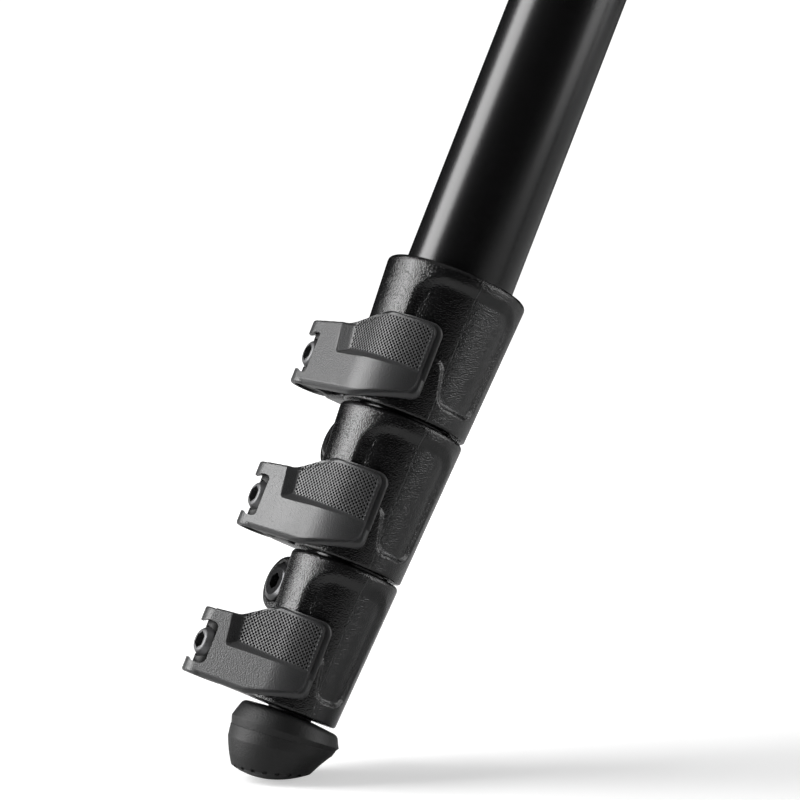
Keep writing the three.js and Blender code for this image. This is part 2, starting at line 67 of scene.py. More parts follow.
# %% Sizes in millimetres
MILLIMETRE = 0.001
GAP = 0.3
SIDES = 96
FIRST_AZIMUTH, SPREAD, HINGE_RADIUS, HINGE_HEIGHT = 210, 24, 38, -44.6
LEG_LENGTH, TUBE_WALL, TUBE_STEP, FIRST_TUBE = 380, 1.2, 1.75, 11.25
LOCK_HEIGHT, LOCK_SEAT, LOCK_TURN, LOCK_GAP = 30.3, 15, 3, 0.5
COLLAR_LOW_WALL, COLLAR_HIGH_WALL = 3.4, 3.45
FOOT_HEIGHT, FOOT_GAP = 13, 0.4


def tube_radius(index):
    return FIRST_TUBE - index * TUBE_STEP


def lock_bottom(index):
    return FOOT_HEIGHT + FOOT_GAP - LEG_LENGTH + (2 - index) * (LOCK_HEIGHT + LOCK_GAP)


def lock_radius(index, height):
    low, high = tube_radius(index + 1) + COLLAR_LOW_WALL, tube_radius(index) + COLLAR_HIGH_WALL
    return low + (high - low) * height / LOCK_HEIGHT


def leg_place(number):
    turn = Matrix.Rotation(math.radians(FIRST_AZIMUTH + 120 * (number - 1)), 4, "Z")
    hinge = Matrix.Translation((HINGE_RADIUS, 0, HINGE_HEIGHT))
    spread = Matrix.Rotation(-math.radians(SPREAD), 4, "Y")
    return Matrix.Scale(MILLIMETRE, 4) @ turn @ hinge @ spread


def lock_place(index):
    turn = Matrix.Rotation(math.radians(LOCK_TURN * (index - 2)), 4, "Z")
    return Matrix.Translation((0, 0, lock_bottom(index))) @ turn


CENTRE = Matrix.Scale(MILLIMETRE, 4)
print("lock bottoms:", [lock_bottom(index) for index in range(3)])

# %% [markdown]
# ## Turned shapes
# Tubes, feet, plates and screws are turned on a lathe or moulded round. Such a piece is an outline of radius
# and height, with its corners rounded, carried round Z. Rounded corners matter on black pieces, because an
# edge is seen by the thin line of light on it.

# %% Outlines and turned meshes


def rounded(corners, radii, steps=4):
    """The outline through the corners, each one rounded by its radius."""
    outline = []
    for i, radius in enumerate(radii):
        corner = np.array(corners[i], float)
        back = np.array(corners[i - 1], float) - corner
        ahead = np.array(corners[(i + 1) % len(corners)], float) - corner
        if radius == 0:
            outline.append(corner)
            continue
        length = min(np.linalg.norm(back), np.linalg.norm(ahead))
        back, ahead = back / np.linalg.norm(back), ahead / np.linalg.norm(ahead)
        half = math.acos(np.clip(back @ ahead, -1, 1)) / 2
        reach = min(radius / math.tan(half), length * 0.49)
        centre = corner + (back + ahead) / np.linalg.norm(back + ahead) * reach / math.cos(half)
        start, end = corner + back * reach - centre, corner + ahead * reach - centre
        sweep = math.pi - 2 * half
        for k in range(steps + 1):
            share = k / steps
            arm = math.sin((1 - share) * sweep) * start + math.sin(share * sweep) * end
            outline.append(centre + arm / math.sin(sweep))
    return np.array(outline)


def mesh_of(points, faces):
    """A mesh with its doubles merged and its faces outwards."""
    mesh = bpy.data.meshes.new("shape")
    mesh.from_pydata([tuple(p) for p in np.asarray(points, float).reshape(-1, 3)], [], faces)
    shape = bmesh.new()
    shape.from_mesh(mesh)
    bmesh.ops.remove_doubles(shape, verts=shape.verts, dist=1e-5)
    bmesh.ops.recalc_face_normals(shape, faces=shape.faces)
    shape.to_mesh(mesh)
    shape.free()
    return mesh


def woven(points, rows_closed=False):
    """A mesh from rows of points that run round; the last point of a row meets its first."""
    rows, columns = points.shape[:2]
    last = rows if rows_closed else rows - 1
    faces = []
    for i in range(last):
        a, b = i * columns, (i + 1) % rows * columns
        for j in range(columns):
            k = (j + 1) % columns
            faces.append((a + j, a + k, b + k, b + j))
    return mesh_of(points, faces)


def full_turn(count):
    return np.linspace(0, 2 * math.pi, count, endpoint=False)


def turned(outline, sides=SIDES, axis="Z"):
    """A solid of revolution; an outline that leaves the axis free is a ring."""
    outline = np.asarray(outline, float)
    angle = full_turn(sides)
    radius, height = outline[:, :1], outline[:, 1:] + 0 * angle
    points = np.stack([radius * np.cos(angle), radius * np.sin(angle), height], axis=-1)
    if axis == "X":
        points = points[..., [2, 0, 1]]
    if axis == "Y":
        points = points[..., [1, 2, 0]]
    return woven(points, rows_closed=bool(outline[:, 0].min() > 0))


def rod(radius, low, high, rounding=0.0, axis="Z", at=(0, 0, 0), sides=SIDES):
    """A round bar with rounded ends."""
    corners = [(0, low), (radius, low), (radius, high), (0, high)]
    mesh = turned(rounded(corners, [0, rounding, rounding, 0]), sides, axis)
    mesh.transform(Matrix.Translation(at))
    return mesh


def block(low, high, rounding=0.0, steps=3):
    """A box with rounded edges."""
    shape = bmesh.new()
    bmesh.ops.create_cube(shape, size=1)
    size = [b - a for a, b in zip(low, high)]
    centre = [(a + b) / 2 for a, b in zip(low, high)]
    bmesh.ops.scale(shape, vec=size, verts=shape.verts)
    bmesh.ops.translate(shape, vec=centre, verts=shape.verts)
    if rounding:
        bmesh.ops.bevel(
            shape, geom=shape.edges[:], offset=rounding, segments=steps, profile=0.5, affect="EDGES"
        )
    mesh = bpy.data.meshes.new("block")
    shape.to_mesh(mesh)
    shape.free()
    return mesh


def prism(outline, low, high):
    """A straight solid between two heights over a flat outline."""
    outline = np.asarray(outline, float)
    count = len(outline)
    bottom = np.column_stack([outline, np.full(count, low)])
    top = np.column_stack([outline, np.full(count, high)])
    faces = [tuple(range(count - 1, -1, -1)), tuple(range(count, 2 * count))]
    for i in range(count):
        j = (i + 1) % count
        faces.append((i, j, count + j, count + i))
    return mesh_of(np.vstack([bottom, top]), faces)


def moved(mesh, matrix):
    mesh.transform(matrix)
    return mesh


print("outline of a rounded square:", len(rounded([(0, 0), (1, 0), (1, 1), (0, 1)], [0.2] * 4)), "points")

# %% [markdown]
# ## Joining and cutting
# A clamp is one moulding of a cone, two ears and a screw boss. Boolean modifiers join and cut closed meshes,
# and the manifold solver is fast and leaves the faces that it does not touch as they were.

# %% Booleans that end in a plain mesh


def put(name, data):
    """A new object in the scene."""
    item = bpy.data.objects.new(name, data)
    bpy.context.collection.objects.link(item)
    return item


def baked(holder):
    """The plain mesh of an object with its modifiers, which are then removed with the object."""
    graph = bpy.context.evaluated_depsgraph_get()
    mesh = bpy.data.meshes.new_from_object(holder.evaluated_get(graph))
    bpy.data.objects.remove(holder)
    return mesh


def shaped(base, join=(), cut=(), keep=()):
    """The base with meshes joined to it, others cut away, and then only what it shares with the last."""
    holder = put("holder", base)
    tools = []
    for operation, meshes in (("UNION", join), ("DIFFERENCE", cut), ("INTERSECT", keep)):
        for mesh in meshes:
            tool = put("tool", mesh)
            tools.append(tool)
            step = holder.modifiers.new(operation, "BOOLEAN")
            step.operation, step.object, step.solver = operation, tool, "MANIFOLD"
    mesh = baked(holder)
    for tool in tools:
        bpy.data.objects.remove(tool)
    return mesh


# %% [markdown]
# ## Recipes in Geometry Nodes
# What repeats, such as grooves, ribs, pits and a thread, is made by node trees that are built here and run on
# a mesh. Each tree has named inputs for its sizes, and its result is turned into a plain mesh at once.

# %% Building and running a node tree


def new_recipe(name, sizes):
    """An empty tree with a mesh, a material and the named sizes as inputs."""
    tree = bpy.data.node_groups.new(name, "GeometryNodeTree")
    tree.interface.new_socket("Geometry", in_out="INPUT", socket_type="NodeSocketGeometry")
    tree.interface.new_socket("Material", in_out="INPUT", socket_type="NodeSocketMaterial")
    for size, kind in sizes.items():
        tree.interface.new_socket(size, in_out="INPUT", socket_type=kind)
    tree.interface.new_socket("Geometry", in_out="OUTPUT", socket_type="NodeSocketGeometry")
    return tree, tree.nodes.new("NodeGroupInput")


def add(tree, kind, settings=None, **links):
    """A node with its settings, and its inputs linked or set; _ in a name stands for a space."""
    node = tree.nodes.new(kind)
    for key, value in (settings or {}).items():
        setattr(node, key, value)
    for key, value in links.items():
        socket = node.inputs[int(key[1:])] if key[1:].isdigit() else node.inputs[key.replace("_", " ")]
        if isinstance(value, bpy.types.NodeSocket):
            tree.links.new(value, socket)
        else:
            socket.default_value = value
    return node


def maths(tree, operation, a, b=0.0):
    return add(tree, "ShaderNodeMath", {"operation": operation}, _0=a, _1=b).outputs[0]


def lattice_distance(tree, place, pitch):
    """How far a place is from the nearest corner of a diamond lattice; works in both kinds of tree."""
    axes = add(tree, "ShaderNodeSeparateXYZ", Vector=place)
    square = 0.0
    for operation in ("ADD", "SUBTRACT"):
        diagonal = maths(tree, operation, axes.outputs["X"], axes.outputs["Y"])
        count = maths(tree, "DIVIDE", diagonal, maths(tree, "MULTIPLY", pitch, math.sqrt(2)))
        offcut = maths(tree, "SUBTRACT", count, maths(tree, "ROUND", count))
        square = maths(tree, "ADD", maths(tree, "POWER", offcut, 2.0), square)
    return maths(tree, "MULTIPLY", maths(tree, "SQRT", square), pitch)


def finish_recipe(tree, start, geometry):
    real = add(tree, "GeometryNodeRealizeInstances", Geometry=geometry)
    dressed = add(
        tree, "GeometryNodeSetMaterial", Geometry=real.outputs[0], Material=start.outputs["Material"]
    )
    end = tree.nodes.new("NodeGroupOutput")
    tree.links.new(dressed.outputs[0], end.inputs[0])
    print("recipe", tree.name, "has", len(tree.nodes), "nodes")


def run_recipe(tree, mesh, material, **sizes):
    """Runs a tree on a mesh: each input is set by its socket's identifier."""
    holder = put("holder", mesh)
    step = holder.modifiers.new(tree.name, "NODES")
    step.node_group = tree
    for item in tree.interface.items_tree:
        if item.in_out == "INPUT" and item.name == "Material":
            step[item.identifier] = material
        if item.in_out == "INPUT" and item.name.replace(" ", "_") in sizes:
            step[item.identifier] = sizes[item.name.replace(" ", "_")]
    holder.update_tag()
    return baked(holder)


FLOAT, COUNT = "NodeSocketFloat", "NodeSocketInt"

# %% [markdown]
# ## Finishes
# Everything on a tripod is nearly black, so a finish shows by its gloss and its grain rather than its colour.
# Each finish is a Principled shader with a fine bump for its grain and slow patches in its roughness. The
# patterns read Object coordinates, or the place attribute that every piece gets in its own leg's frame.

# %% A finish from a grain and slow patches


def finish(name, colour, roughness, metallic=0.0, gloss=0.5):
    """A material with its Principled node, ready for the grain and the patches."""
    material = bpy.data.materials.new(name)
    material.use_nodes = True
    tree = material.node_tree
    shader = tree.nodes["Principled BSDF"]
    shader.inputs["Base Color"].default_value = (*colour, 1)
    shader.inputs["Roughness"].default_value = roughness
    shader.inputs["Metallic"].default_value = metallic
    shader.inputs["Specular IOR Level"].default_value = gloss
    return material, tree, shader


def noise(tree, where, scale, detail=2.0):
    return add(tree, "ShaderNodeTexNoise", Vector=where, Scale=scale, Detail=detail).outputs["Fac"]


def ranged(tree, value, low, high, from_low=0.0, from_high=1.0):
    limits = {"_1": from_low, "_2": from_high, "_3": low, "_4": high}
    return add(tree, "ShaderNodeMapRange", _0=value, **limits).outputs[0]


def blended(tree, share, first, second):
    """The colour between two colours or sockets."""
    return add(tree, "ShaderNodeMix", {"data_type": "RGBA"}, _0=share, _6=first, _7=second).outputs[2]


def above_it(shader, name):
    """What already feeds an input of a shader, to be changed further."""
    return shader.inputs[name].links[0].from_socket


def patches(tree, shader, where, colour, change, roughness, spread, scale):
    """Slow patches in colour and roughness."""
    slow = noise(tree, where, scale, 3.0)
    darker, lighter = [(*[c * share for c in colour], 1) for share in (1 - change, 1 + change)]
    tree.links.new(blended(tree, slow, darker, lighter), shader.inputs["Base Color"])
    wear = ranged(tree, slow, roughness - spread, roughness + spread, 0.3, 0.7)
    tree.links.new(wear, shader.inputs["Roughness"])


def bump(tree, shader, heights):
    """Bumps from (height, depth in metres) pairs, one after the other."""
    normal = None
    for height, depth in heights:
        node = add(tree, "ShaderNodeBump", Height=height, Distance=depth)
        if normal:
            tree.links.new(normal, node.inputs["Normal"])
        normal = node.outputs[0]
    tree.links.new(normal, shader.inputs["Normal"])


def attribute(tree, name, output):
    return add(tree, "ShaderNodeAttribute", {"attribute_name": name}).outputs[output]


def object_place(tree):
    return tree.nodes.new("ShaderNodeTexCoord").outputs["Object"]


def own_place(tree, stretch=(1, 1, 1)):
    """The piece's place in its leg, in millimetres, stretched where a pattern runs along it."""
    place = attribute(tree, "place", "Vector")
    return add(tree, "ShaderNodeVectorMath", {"operation": "MULTIPLY"}, _0=place, _1=stretch).outputs[0]


# %% [markdown]
# ### Moulded plastic, rubber and powder coat
# The clamps are glass-filled plastic from a mould with an eroded face: small shiny hills. The levers have a
# duller and shallower grain, the foot is matte rubber, and the castings carry a powder coat with a soft
# orange-peel skin. All are the same recipe with other grain sizes, depths and roughness.

# %% Grained finishes


PATCH_CHANGE, PATCHES_PER_METRE = 0.18, 60


def grained(name, colour, roughness, grain, depth, spread=0.06, gloss=0.5):
    """Grain is the size of a hill in metres, depth its height, spread how far the roughness strays."""
    material, tree, shader = finish(name, colour, roughness, 0.0, gloss)
    where = object_place(tree)
    patches(tree, shader, where, colour, PATCH_CHANGE, roughness, spread, PATCHES_PER_METRE)
    bump(tree, shader, [(noise(tree, where, 1 / grain, 0.0), depth)])
    return material


lock_plastic = grained("lock_plastic", (0.003, 0.003, 0.0032), 0.24, 0.00025, 0.00009, 0.04)
lever_plastic = grained("lever_plastic", (0.028, 0.0282, 0.029), 0.4, 0.00025, 0.00005, 0.05)
foot_rubber = grained("foot_rubber", (0.003, 0.003, 0.0032), 0.55, 0.0003, 0.00005, gloss=0.4)
powder_coat = grained("powder_coat", (0.008, 0.008, 0.0085), 0.38, 0.0006, 0.00006, 0.05)
catch_plastic = grained("catch_plastic", (0.12, 0.122, 0.127), 0.5, 0.0003, 0.00004)
pad_rubber = grained("pad_rubber", (0.009, 0.009, 0.009), 0.75, 0.0004, 0.00005, gloss=0.3)

# %% A painted highlight along the seam down the collars


def paint_seam_highlight(material, degrees, half_width):
    """A paler hair line where the mould's halves met, a painted highlight for the light its ridge catches;
    its half width is in radians round the axis.
    """
    tree = material.node_tree
    shader = tree.nodes["Principled BSDF"]
    axes = add(tree, "ShaderNodeSeparateXYZ", Vector=own_place(tree))
    angle = maths(tree, "ARCTAN2", axes.outputs["Y"], axes.outputs["X"])
    aside = maths(tree, "ABSOLUTE", maths(tree, "SUBTRACT", angle, math.radians(degrees)))
    ridge = ranged(tree, aside, 1, 0, 0.3 * half_width, half_width)
    # The paler colour is a painted highlight: it stands in for light caught by the seam's ridge.
    with_seam_highlight = blended(tree, ridge, above_it(shader, "Base Color"), SEAM_PAINTED_HIGHLIGHT)
    tree.links.new(with_seam_highlight, shader.inputs["Base Color"])


# Colour of the painted highlight on the seam
SEAM_PAINTED_HIGHLIGHT = (0.03, 0.03, 0.031, 1)
paint_seam_highlight(lock_plastic, degrees=86, half_width=0.01)

# %% [markdown]
# ### Anodised tube
# A tube is drawn through a die and then anodised, which leaves very fine lines along it under an even satin
# black. The noise is stretched along the leg, so it reads the piece's own place and not Object coordinates.

# %% Metals


def drawn_metal(name, colour, roughness, metallic, lines, depth):
    material, tree, shader = finish(name, colour, roughness, metallic)
    patches(tree, shader, own_place(tree, (0.04, 0.04, 0.01)), colour, 0.1, roughness, 0.03, 1.0)
    streaks = noise(tree, own_place(tree, lines), 1.0, 2.0)
    specks = noise(tree, object_place(tree), 5200, 2.0)
    bump(tree, shader, [(streaks, depth), (specks, depth)])
    return material


tube_metal = drawn_metal("tube_metal", (0.006, 0.006, 0.0063), 0.25, 0.2, (5, 5, 0.05), 0.000006)
screw_steel = drawn_metal("screw_steel", (0.05, 0.05, 0.052), 0.22, 0.8, (3, 3, 3), 0.000006)
pin_steel = drawn_metal("pin_steel", (0.006, 0.006, 0.006), 0.55, 0.3, (3, 3, 3), 0.000006)
head_steel = drawn_metal("head_steel", (0.12, 0.12, 0.123), 0.48, 0.9, (3, 3, 3), 0.000006)
bright_steel = drawn_metal("bright_steel", (0.55, 0.55, 0.56), 0.25, 1.0, (4, 4, 4), 0.00001)
print("finishes:", [material.name for material in bpy.data.materials][-11:])

# %% [markdown]
# ## Putting a piece in its place
# A finished mesh is carried into the model's frame by its matrix, rides on the CAD body that moves it, and
# says which CAD node it stands for. Most pieces sit either
# on all three legs or on the column, so each of these two cases has a short form.

# %% Placing


SHARP = math.radians(32)


def points_of(mesh):
    """The places of a mesh's points, one in each row."""
    places = np.empty(len(mesh.vertices) * 3)
    mesh.vertices.foreach_get("co", places)
    return places.reshape(-1, 3)


def write_attribute(mesh, name, kind, field, values):
    data = mesh.attributes.new(name, kind, "POINT").data
    data.foreach_set(field, np.ascontiguousarray(values, np.float32).ravel())


def placed(name, mesh, matrix, body, material, nodes=()):
    mesh = mesh.copy()
    mesh.materials.clear()
    mesh.materials.append(material)
    mesh.polygons.foreach_set("material_index", np.zeros(len(mesh.polygons), np.int32))
    write_attribute(mesh, "place", "FLOAT_VECTOR", "vector", points_of(mesh))
    mesh.transform(matrix)
    mesh.shade_smooth()
    mesh.set_sharp_from_angle(angle=SHARP)
    piece = put(name, mesh)
    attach(piece, body)
    if nodes:
        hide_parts(*nodes)


def on_legs(node, made, mesh, body, material, there=Matrix(), stands_for_node=True):
    """The same piece on all three legs, named after its node and the way it is made."""
    for leg in (1, 2, 3):
        name, nodes = f"leg_{leg}_{node}", []
        if stands_for_node:
            nodes.append(name)
        placed(f"{name}_{made}", mesh, leg_place(leg) @ there, f"leg_{leg}_{body}", material, nodes)


def on_axis(node, made, mesh, material, body="column"):
    """A piece of the middle, which needs no turn."""
    placed(f"{node}_{made}", mesh, CENTRE, body, material, [node])


# %% [markdown]
# ## Tubes
# Four nested tubes follow one rule: each is two walls and a gap smaller than the one round it. A recipe
# sweeps a rounded rectangle, the cut through the wall, round a circle, so each tube is one run with other
# numbers. Turning an outline would do as well, but the swept profile keeps wall and rounding as inputs.

# %% Tube recipe and the twelve leg tubes
tube_recipe, start = new_recipe(
    "nested_tube",
    dict.fromkeys(("Outer radius", "Wall", "Bottom", "Top", "Edge rounding"), FLOAT),
)
tree, sizes = tube_recipe, start.outputs
middle = maths(tree, "SUBTRACT", sizes["Outer radius"], maths(tree, "MULTIPLY", sizes["Wall"], 0.5))
tall = maths(tree, "SUBTRACT", sizes["Top"], sizes["Bottom"])
path = add(tree, "GeometryNodeCurvePrimitiveCircle", {"mode": "RADIUS"}, Resolution=SIDES, Radius=middle)
section = add(tree, "GeometryNodeCurvePrimitiveQuadrilateral", Width=sizes["Wall"], Height=tall)
soft = add(
    tree, "GeometryNodeFilletCurve", {"mode": "POLY"},
    Curve=section.outputs[0], Radius=sizes["Edge rounding"], Count=3,
)
wall = add(tree, "GeometryNodeCurveToMesh", Curve=path.outputs[0], Profile_Curve=soft.outputs[0])
centre = maths(tree, "MULTIPLY", maths(tree, "ADD", sizes["Top"], sizes["Bottom"]), 0.5)
lift = add(tree, "ShaderNodeCombineXYZ", Z=centre)
stood = add(tree, "GeometryNodeTransform", Geometry=wall.outputs[0], Translation=lift.outputs[0])
finish_recipe(tree, start, stood.outputs[0])


def tube(radius, wall, bottom, top, rounding=0.25):
    return run_recipe(
        tube_recipe, bpy.data.meshes.new("empty"), tube_metal,
        Outer_radius=radius, Wall=wall, Bottom=bottom, Top=top, Edge_rounding=rounding,
    )


BODIES = ("upper", "second", "third", "fourth")
TUBES_TOP, TOP_STEP = -18.3, 4
for index, body in enumerate(BODIES):
    bottom = FOOT_HEIGHT - LEG_LENGTH if index == 3 else lock_bottom(index) + LOCK_HEIGHT - LOCK_SEAT
    mesh = tube(tube_radius(index), TUBE_WALL, bottom + GAP, TUBES_TOP - TOP_STEP * index)
    on_legs(f"tube_{index + 1}", "drawn", mesh, body, tube_metal)
low = np.array([v.co for v in mesh.vertices])
print("tube 4 spans", low.min(0).round(2), low.max(0).round(2), "faces", len(mesh.polygons))

# %% [markdown]
# ## Lock collars
# A collar is a cone with a shallow panel pressed into its side. The mould gives the panel soft slopes, so the
# cone is woven as a grid of points whose radius dips where a point lies inside the panel's outline. The
# screw boss, the ears and the split are simple solids that are joined to it and cut out of it.

# %% The distance to an outline, which shapes every soft slope


def inside_by(outline, across, up):
    """How far points lie inside a closed outline; negative outside."""
    a = np.asarray(outline, float)
    b = np.roll(a, -1, axis=0)
    points = np.stack([across, up], axis=-1)[..., None, :]
    edge = b - a
    share = np.clip(((points - a) * edge).sum(-1) / (edge**2).sum(-1).clip(1e-12), 0, 1)
    nearest = np.linalg.norm(points - a - share[..., None] * edge, axis=-1).min(-1)
    above = (a[:, 1] > up[..., None]) != (b[:, 1] > up[..., None])
    run = np.where(edge[:, 1] == 0, 1e-12, edge[:, 1])
    crossing = a[:, 0] + (up[..., None] - a[:, 1]) / run * edge[:, 0]
    within = (above & (across[..., None] < crossing)).sum(-1) % 2 == 1
    return np.where(within, nearest, -nearest)


def smooth(value):
    value = np.clip(value, 0, 1)
    return value * value * (3 - 2 * value)


# %% The cone with its panel
PANEL_DEPTH = 0.7
PANEL_CORNERS = (4.0, 2.5, 2.0, 2.4, 2.4, 3.4)
PANEL_AZIMUTH, PANEL_ROWS = 80, 84
FINE_FROM, FINE_TO, FINE_STEP, COARSE_STEP = -25, 185, 0.9, 3.0


def collar_cone(index):
    height = LOCK_HEIGHT
    upper, lower = tube_radius(index) + GAP, tube_radius(index + 1) + GAP
    low, high = lock_radius(index, 0), lock_radius(index, height)
    wall = np.linspace(0.7, height - 1.3, PANEL_ROWS)
    shoulder = height - 4
    top_edge = [(lock_radius(index, shoulder), shoulder), (high, height), (upper, height)]
    outline = [
        *rounded([(lower, 0), (low, 0), (lock_radius(index, 3), 3)], [0.3, 0.5, 0])[:-1],
        *np.column_stack([lock_radius(index, wall), wall]),
        *rounded(top_edge, [0, 1, 0.4])[1:],
        (upper, height - LOCK_SEAT), (lower, height - LOCK_SEAT),
    ]
    outline = np.array(outline)
    fine = np.arange(FINE_FROM, FINE_TO, FINE_STEP)
    degrees = np.concatenate([fine, np.arange(FINE_TO, FINE_FROM + 360, COARSE_STEP)])
    azimuth = np.radians(degrees)[None, :]
    radius, up = outline[:, :1] + 0 * azimuth, outline[:, 1:] + 0 * azimuth

    facing = math.radians(PANEL_AZIMUTH + LOCK_TURN * (2 - index))
    wide, narrow = lock_radius(index, height - 3.4), lock_radius(index, 3.9)
    neck = height * 0.39
    panel = rounded(
        [
            (-0.71 * wide, height - 3.4), (-0.71 * wide, neck), (-0.1 * wide, neck),
            (0.06 * narrow, 3.9), (0.74 * narrow, 3.9), (0.74 * wide, height - 3.4),
        ],
        PANEL_CORNERS, 6,
    )
    across = radius * np.sin(azimuth - facing)
    slope = np.interp(up, [6, 13, 22], [0.9, 1.2, 2.2])
    depth = PANEL_DEPTH * smooth(inside_by(panel, across, up) / slope + 0.5)
    outside = (np.cos(azimuth - facing) > 0) & (radius > upper + 1.2) & (up > 0.4)
    radius = radius - np.where(outside, depth, 0)
    return woven(np.stack([radius * np.cos(azimuth), radius * np.sin(azimuth), up], axis=-1), True)


# %% Boss, ears, split and the finished collar
BOSS_RADIUS, BOSS_DROP, BOSS_FACE, BOSS_FACE_STEP = 5.7, 7.1, 5.6, 0.7
EAR_FACE, LEVER_TALL, SHAFT, BORE_WALL = 11.55, 13.4, 2.0, 1.2
BEYOND = 2


def screw_side(index):
    return -(tube_radius(index + 1) + GAP + BORE_WALL + SHAFT)


def boss_side(index):
    return -(tube_radius(index) + GAP + BORE_WALL + SHAFT)


def boss_face(index):
    return BOSS_FACE + BOSS_FACE_STEP * index


def collar(index):
    low = lock_radius(index, 0)
    ear, side, face = screw_side(index), boss_side(index), boss_face(index)
    up = LOCK_HEIGHT - BOSS_DROP
    ears = block((-10, ear - 3.6, 0.15), (EAR_FACE, ear + low / 2, LEVER_TALL - 1), 0.9)
    boss = rod(BOSS_RADIUS, -face, face, 0.8, axis="X", at=(0, side, up), sides=72)
    bore = rod(tube_radius(index) + GAP, LOCK_HEIGHT - LOCK_SEAT, LOCK_HEIGHT + BEYOND)
    lower_bore = rod(tube_radius(index + 1) + GAP, -BEYOND, LOCK_HEIGHT)
    split = block((-0.8, side - BOSS_RADIUS - BEYOND, -BEYOND), (0.8, 0, LOCK_HEIGHT + BEYOND))
    hole = rod(SHAFT + GAP, -12, EAR_FACE + BEYOND, axis="X", at=(0, ear, LEVER_TALL / 2), sides=32)
    seat = rod(4.3, face - 0.7, face + BEYOND, axis="X", at=(0, side, up), sides=64)
    return shaped(collar_cone(index), [ears, boss], [bore, lower_bore, split, hole, seat])


def hex_bar(radius, low, high, rounding=0.12):
    """A hexagonal bar along Z, for a nut or to cut a socket with."""
    corners = [math.radians(60 * k) for k in range(6)]
    corners = [(radius * math.cos(a), radius * math.sin(a)) for a in corners]
    return prism(rounded(corners, [rounding] * 6, 2), low, high)


def lain(mesh):
    """A mesh along Z, laid along X."""
    return moved(mesh, Matrix.Rotation(math.pi / 2, 4, "Y"))


def clamp_screw(index):
    """Button head with a socket, in the boss's seat."""
    face = boss_face(index)
    under, rim, top = face - 0.65, face + 0.4, face + 0.9
    head = rounded([(0, under), (3.95, under), (3.95, rim), (2.9, top), (0, top)], [0, 0.1, 0.5, 0.3, 0])
    mesh = shaped(turned(head, 64, "X"), [], [lain(hex_bar(1.75, face - 0.5, face + 3, 0.15))])
    return moved(mesh, Matrix.Translation((0, boss_side(index), LOCK_HEIGHT - BOSS_DROP)))


for index in range(3):
    lock, body, there = f"lock_{index + 1}", BODIES[index], lock_place(index)
    mesh = collar(index)
    on_legs(f"{lock}_collar", "moulded", mesh, body, lock_plastic, there)
    on_legs(lock, "clamp_screw", clamp_screw(index), body, screw_steel, there, stands_for_node=False)
    print(f"collar {index + 1}:", len(mesh.polygons), "faces")

# %% [markdown]
# ## Lock levers
# A lever starts as a flat band that wraps the collar and runs straight to its pivot. Its face has three
# levels: a thin flange round its edge, a thicker pad on it, and a grip pressed into the pad whose floor
# tilts. All three are soft slopes over outlines, drawn in the side view in which the lever is designed, so
# the band is a grid of points that is lifted by those slopes and then trimmed by its own outline.

# %% The lever's measures
PIVOT, BARREL, PIN, LEVER_THICK, FLANGE = 16.1, 4.2, 2.8, 2.5, 1.5
LEVER_END, LEVER_VIEW = math.radians(71), 62
PADDLE_TOP, PADDLE_BOTTOM, PADDLE_GAP = 18.2, 3.0, 0.35
GRIP_ACROSS, GRIP_DEPTHS, GRIP_WALL_RUN = (6, 9, 15, 21, 24), (1.5, 1.4, 0.9, 0.35, 0.12), 1.05
FLOOR_SHARPNESS, PAD_SLOPE, GRIP_FADE = 9, 0.4, 0.8
EDGE_ROUND, LOW_FALL, LOW_WIDTH = 0.45, 0.5, 1.1
PIT_MARGIN, PIT_FADE = 0.6, 0.25
STEP = 0.145


def lever_frame(index):
    """Radii, angles and the side view's two ends for one lever."""
    inner = lock_radius(index, PADDLE_TOP) + PADDLE_GAP
    outer, side = inner + LEVER_THICK, screw_side(index)
    span = math.hypot(PIVOT, side)
    lean = math.atan2(side, PIVOT) + math.acos((outer - BARREL) / span)
    view = math.radians(LEVER_VIEW + LOCK_TURN * (2 - index))
    left = -(PIVOT * math.sin(view) - side * math.cos(view)) - BARREL
    return {
        "inner": inner, "outer": outer, "side": side, "lean": lean, "view": view, "left": left,
        "right": outer * math.sin(LEVER_END - view), "arc": outer * (LEVER_END - lean),
        "straight": math.sqrt(span**2 - (outer - BARREL) ** 2),
    }


def lever_plan(plan, along, height):
    """Plan place of a point: along the band from its free end, and its height above the inner face."""
    angle = np.where(along < plan["arc"], LEVER_END - along / plan["outer"], plan["lean"])
    run = np.clip(along - plan["arc"], 0, None)
    radius = plan["inner"] + height
    x = radius * np.cos(angle) + run * math.sin(plan["lean"])
    y = radius * np.sin(angle) - run * math.cos(plan["lean"])
    return x, y


def lever_outlines(plan):
    """Side outline, pad and grip, in millimetres from the left end and up."""
    wide = plan["right"] - plan["left"]
    side = rounded(
        [
            (-3, 0), (13, 0), (wide, PADDLE_BOTTOM), (wide, PADDLE_TOP),
            (13.4, PADDLE_TOP), (7, LEVER_TALL + 0.6), (0.6, LEVER_TALL), (-3, LEVER_TALL),
        ],
        [0, 6, 2.2, 2.6, 3.5, 3, 0, 0], 8,
    )
    pad_end = wide - 1.6
    pad = rounded(
        [
            (-3, -3), (9, -0.6), (pad_end, PADDLE_BOTTOM + 0.9), (pad_end, PADDLE_TOP - 0.6),
            (13.2, PADDLE_TOP - 0.3), (8, 16.5), (-3, 16.5),
        ],
        [0, 8, 2.6, 1.9, 3, 3, 0], 8,
    )
    grip = rounded([(3.9, 24), (6.3, 7.4), (wide + 6, 7.9), (wide + 6, 24)], [0, 0.8, 0, 0], 4)
    return side, pad, grip


# %% The face of a lever: flange, pad and grip floor


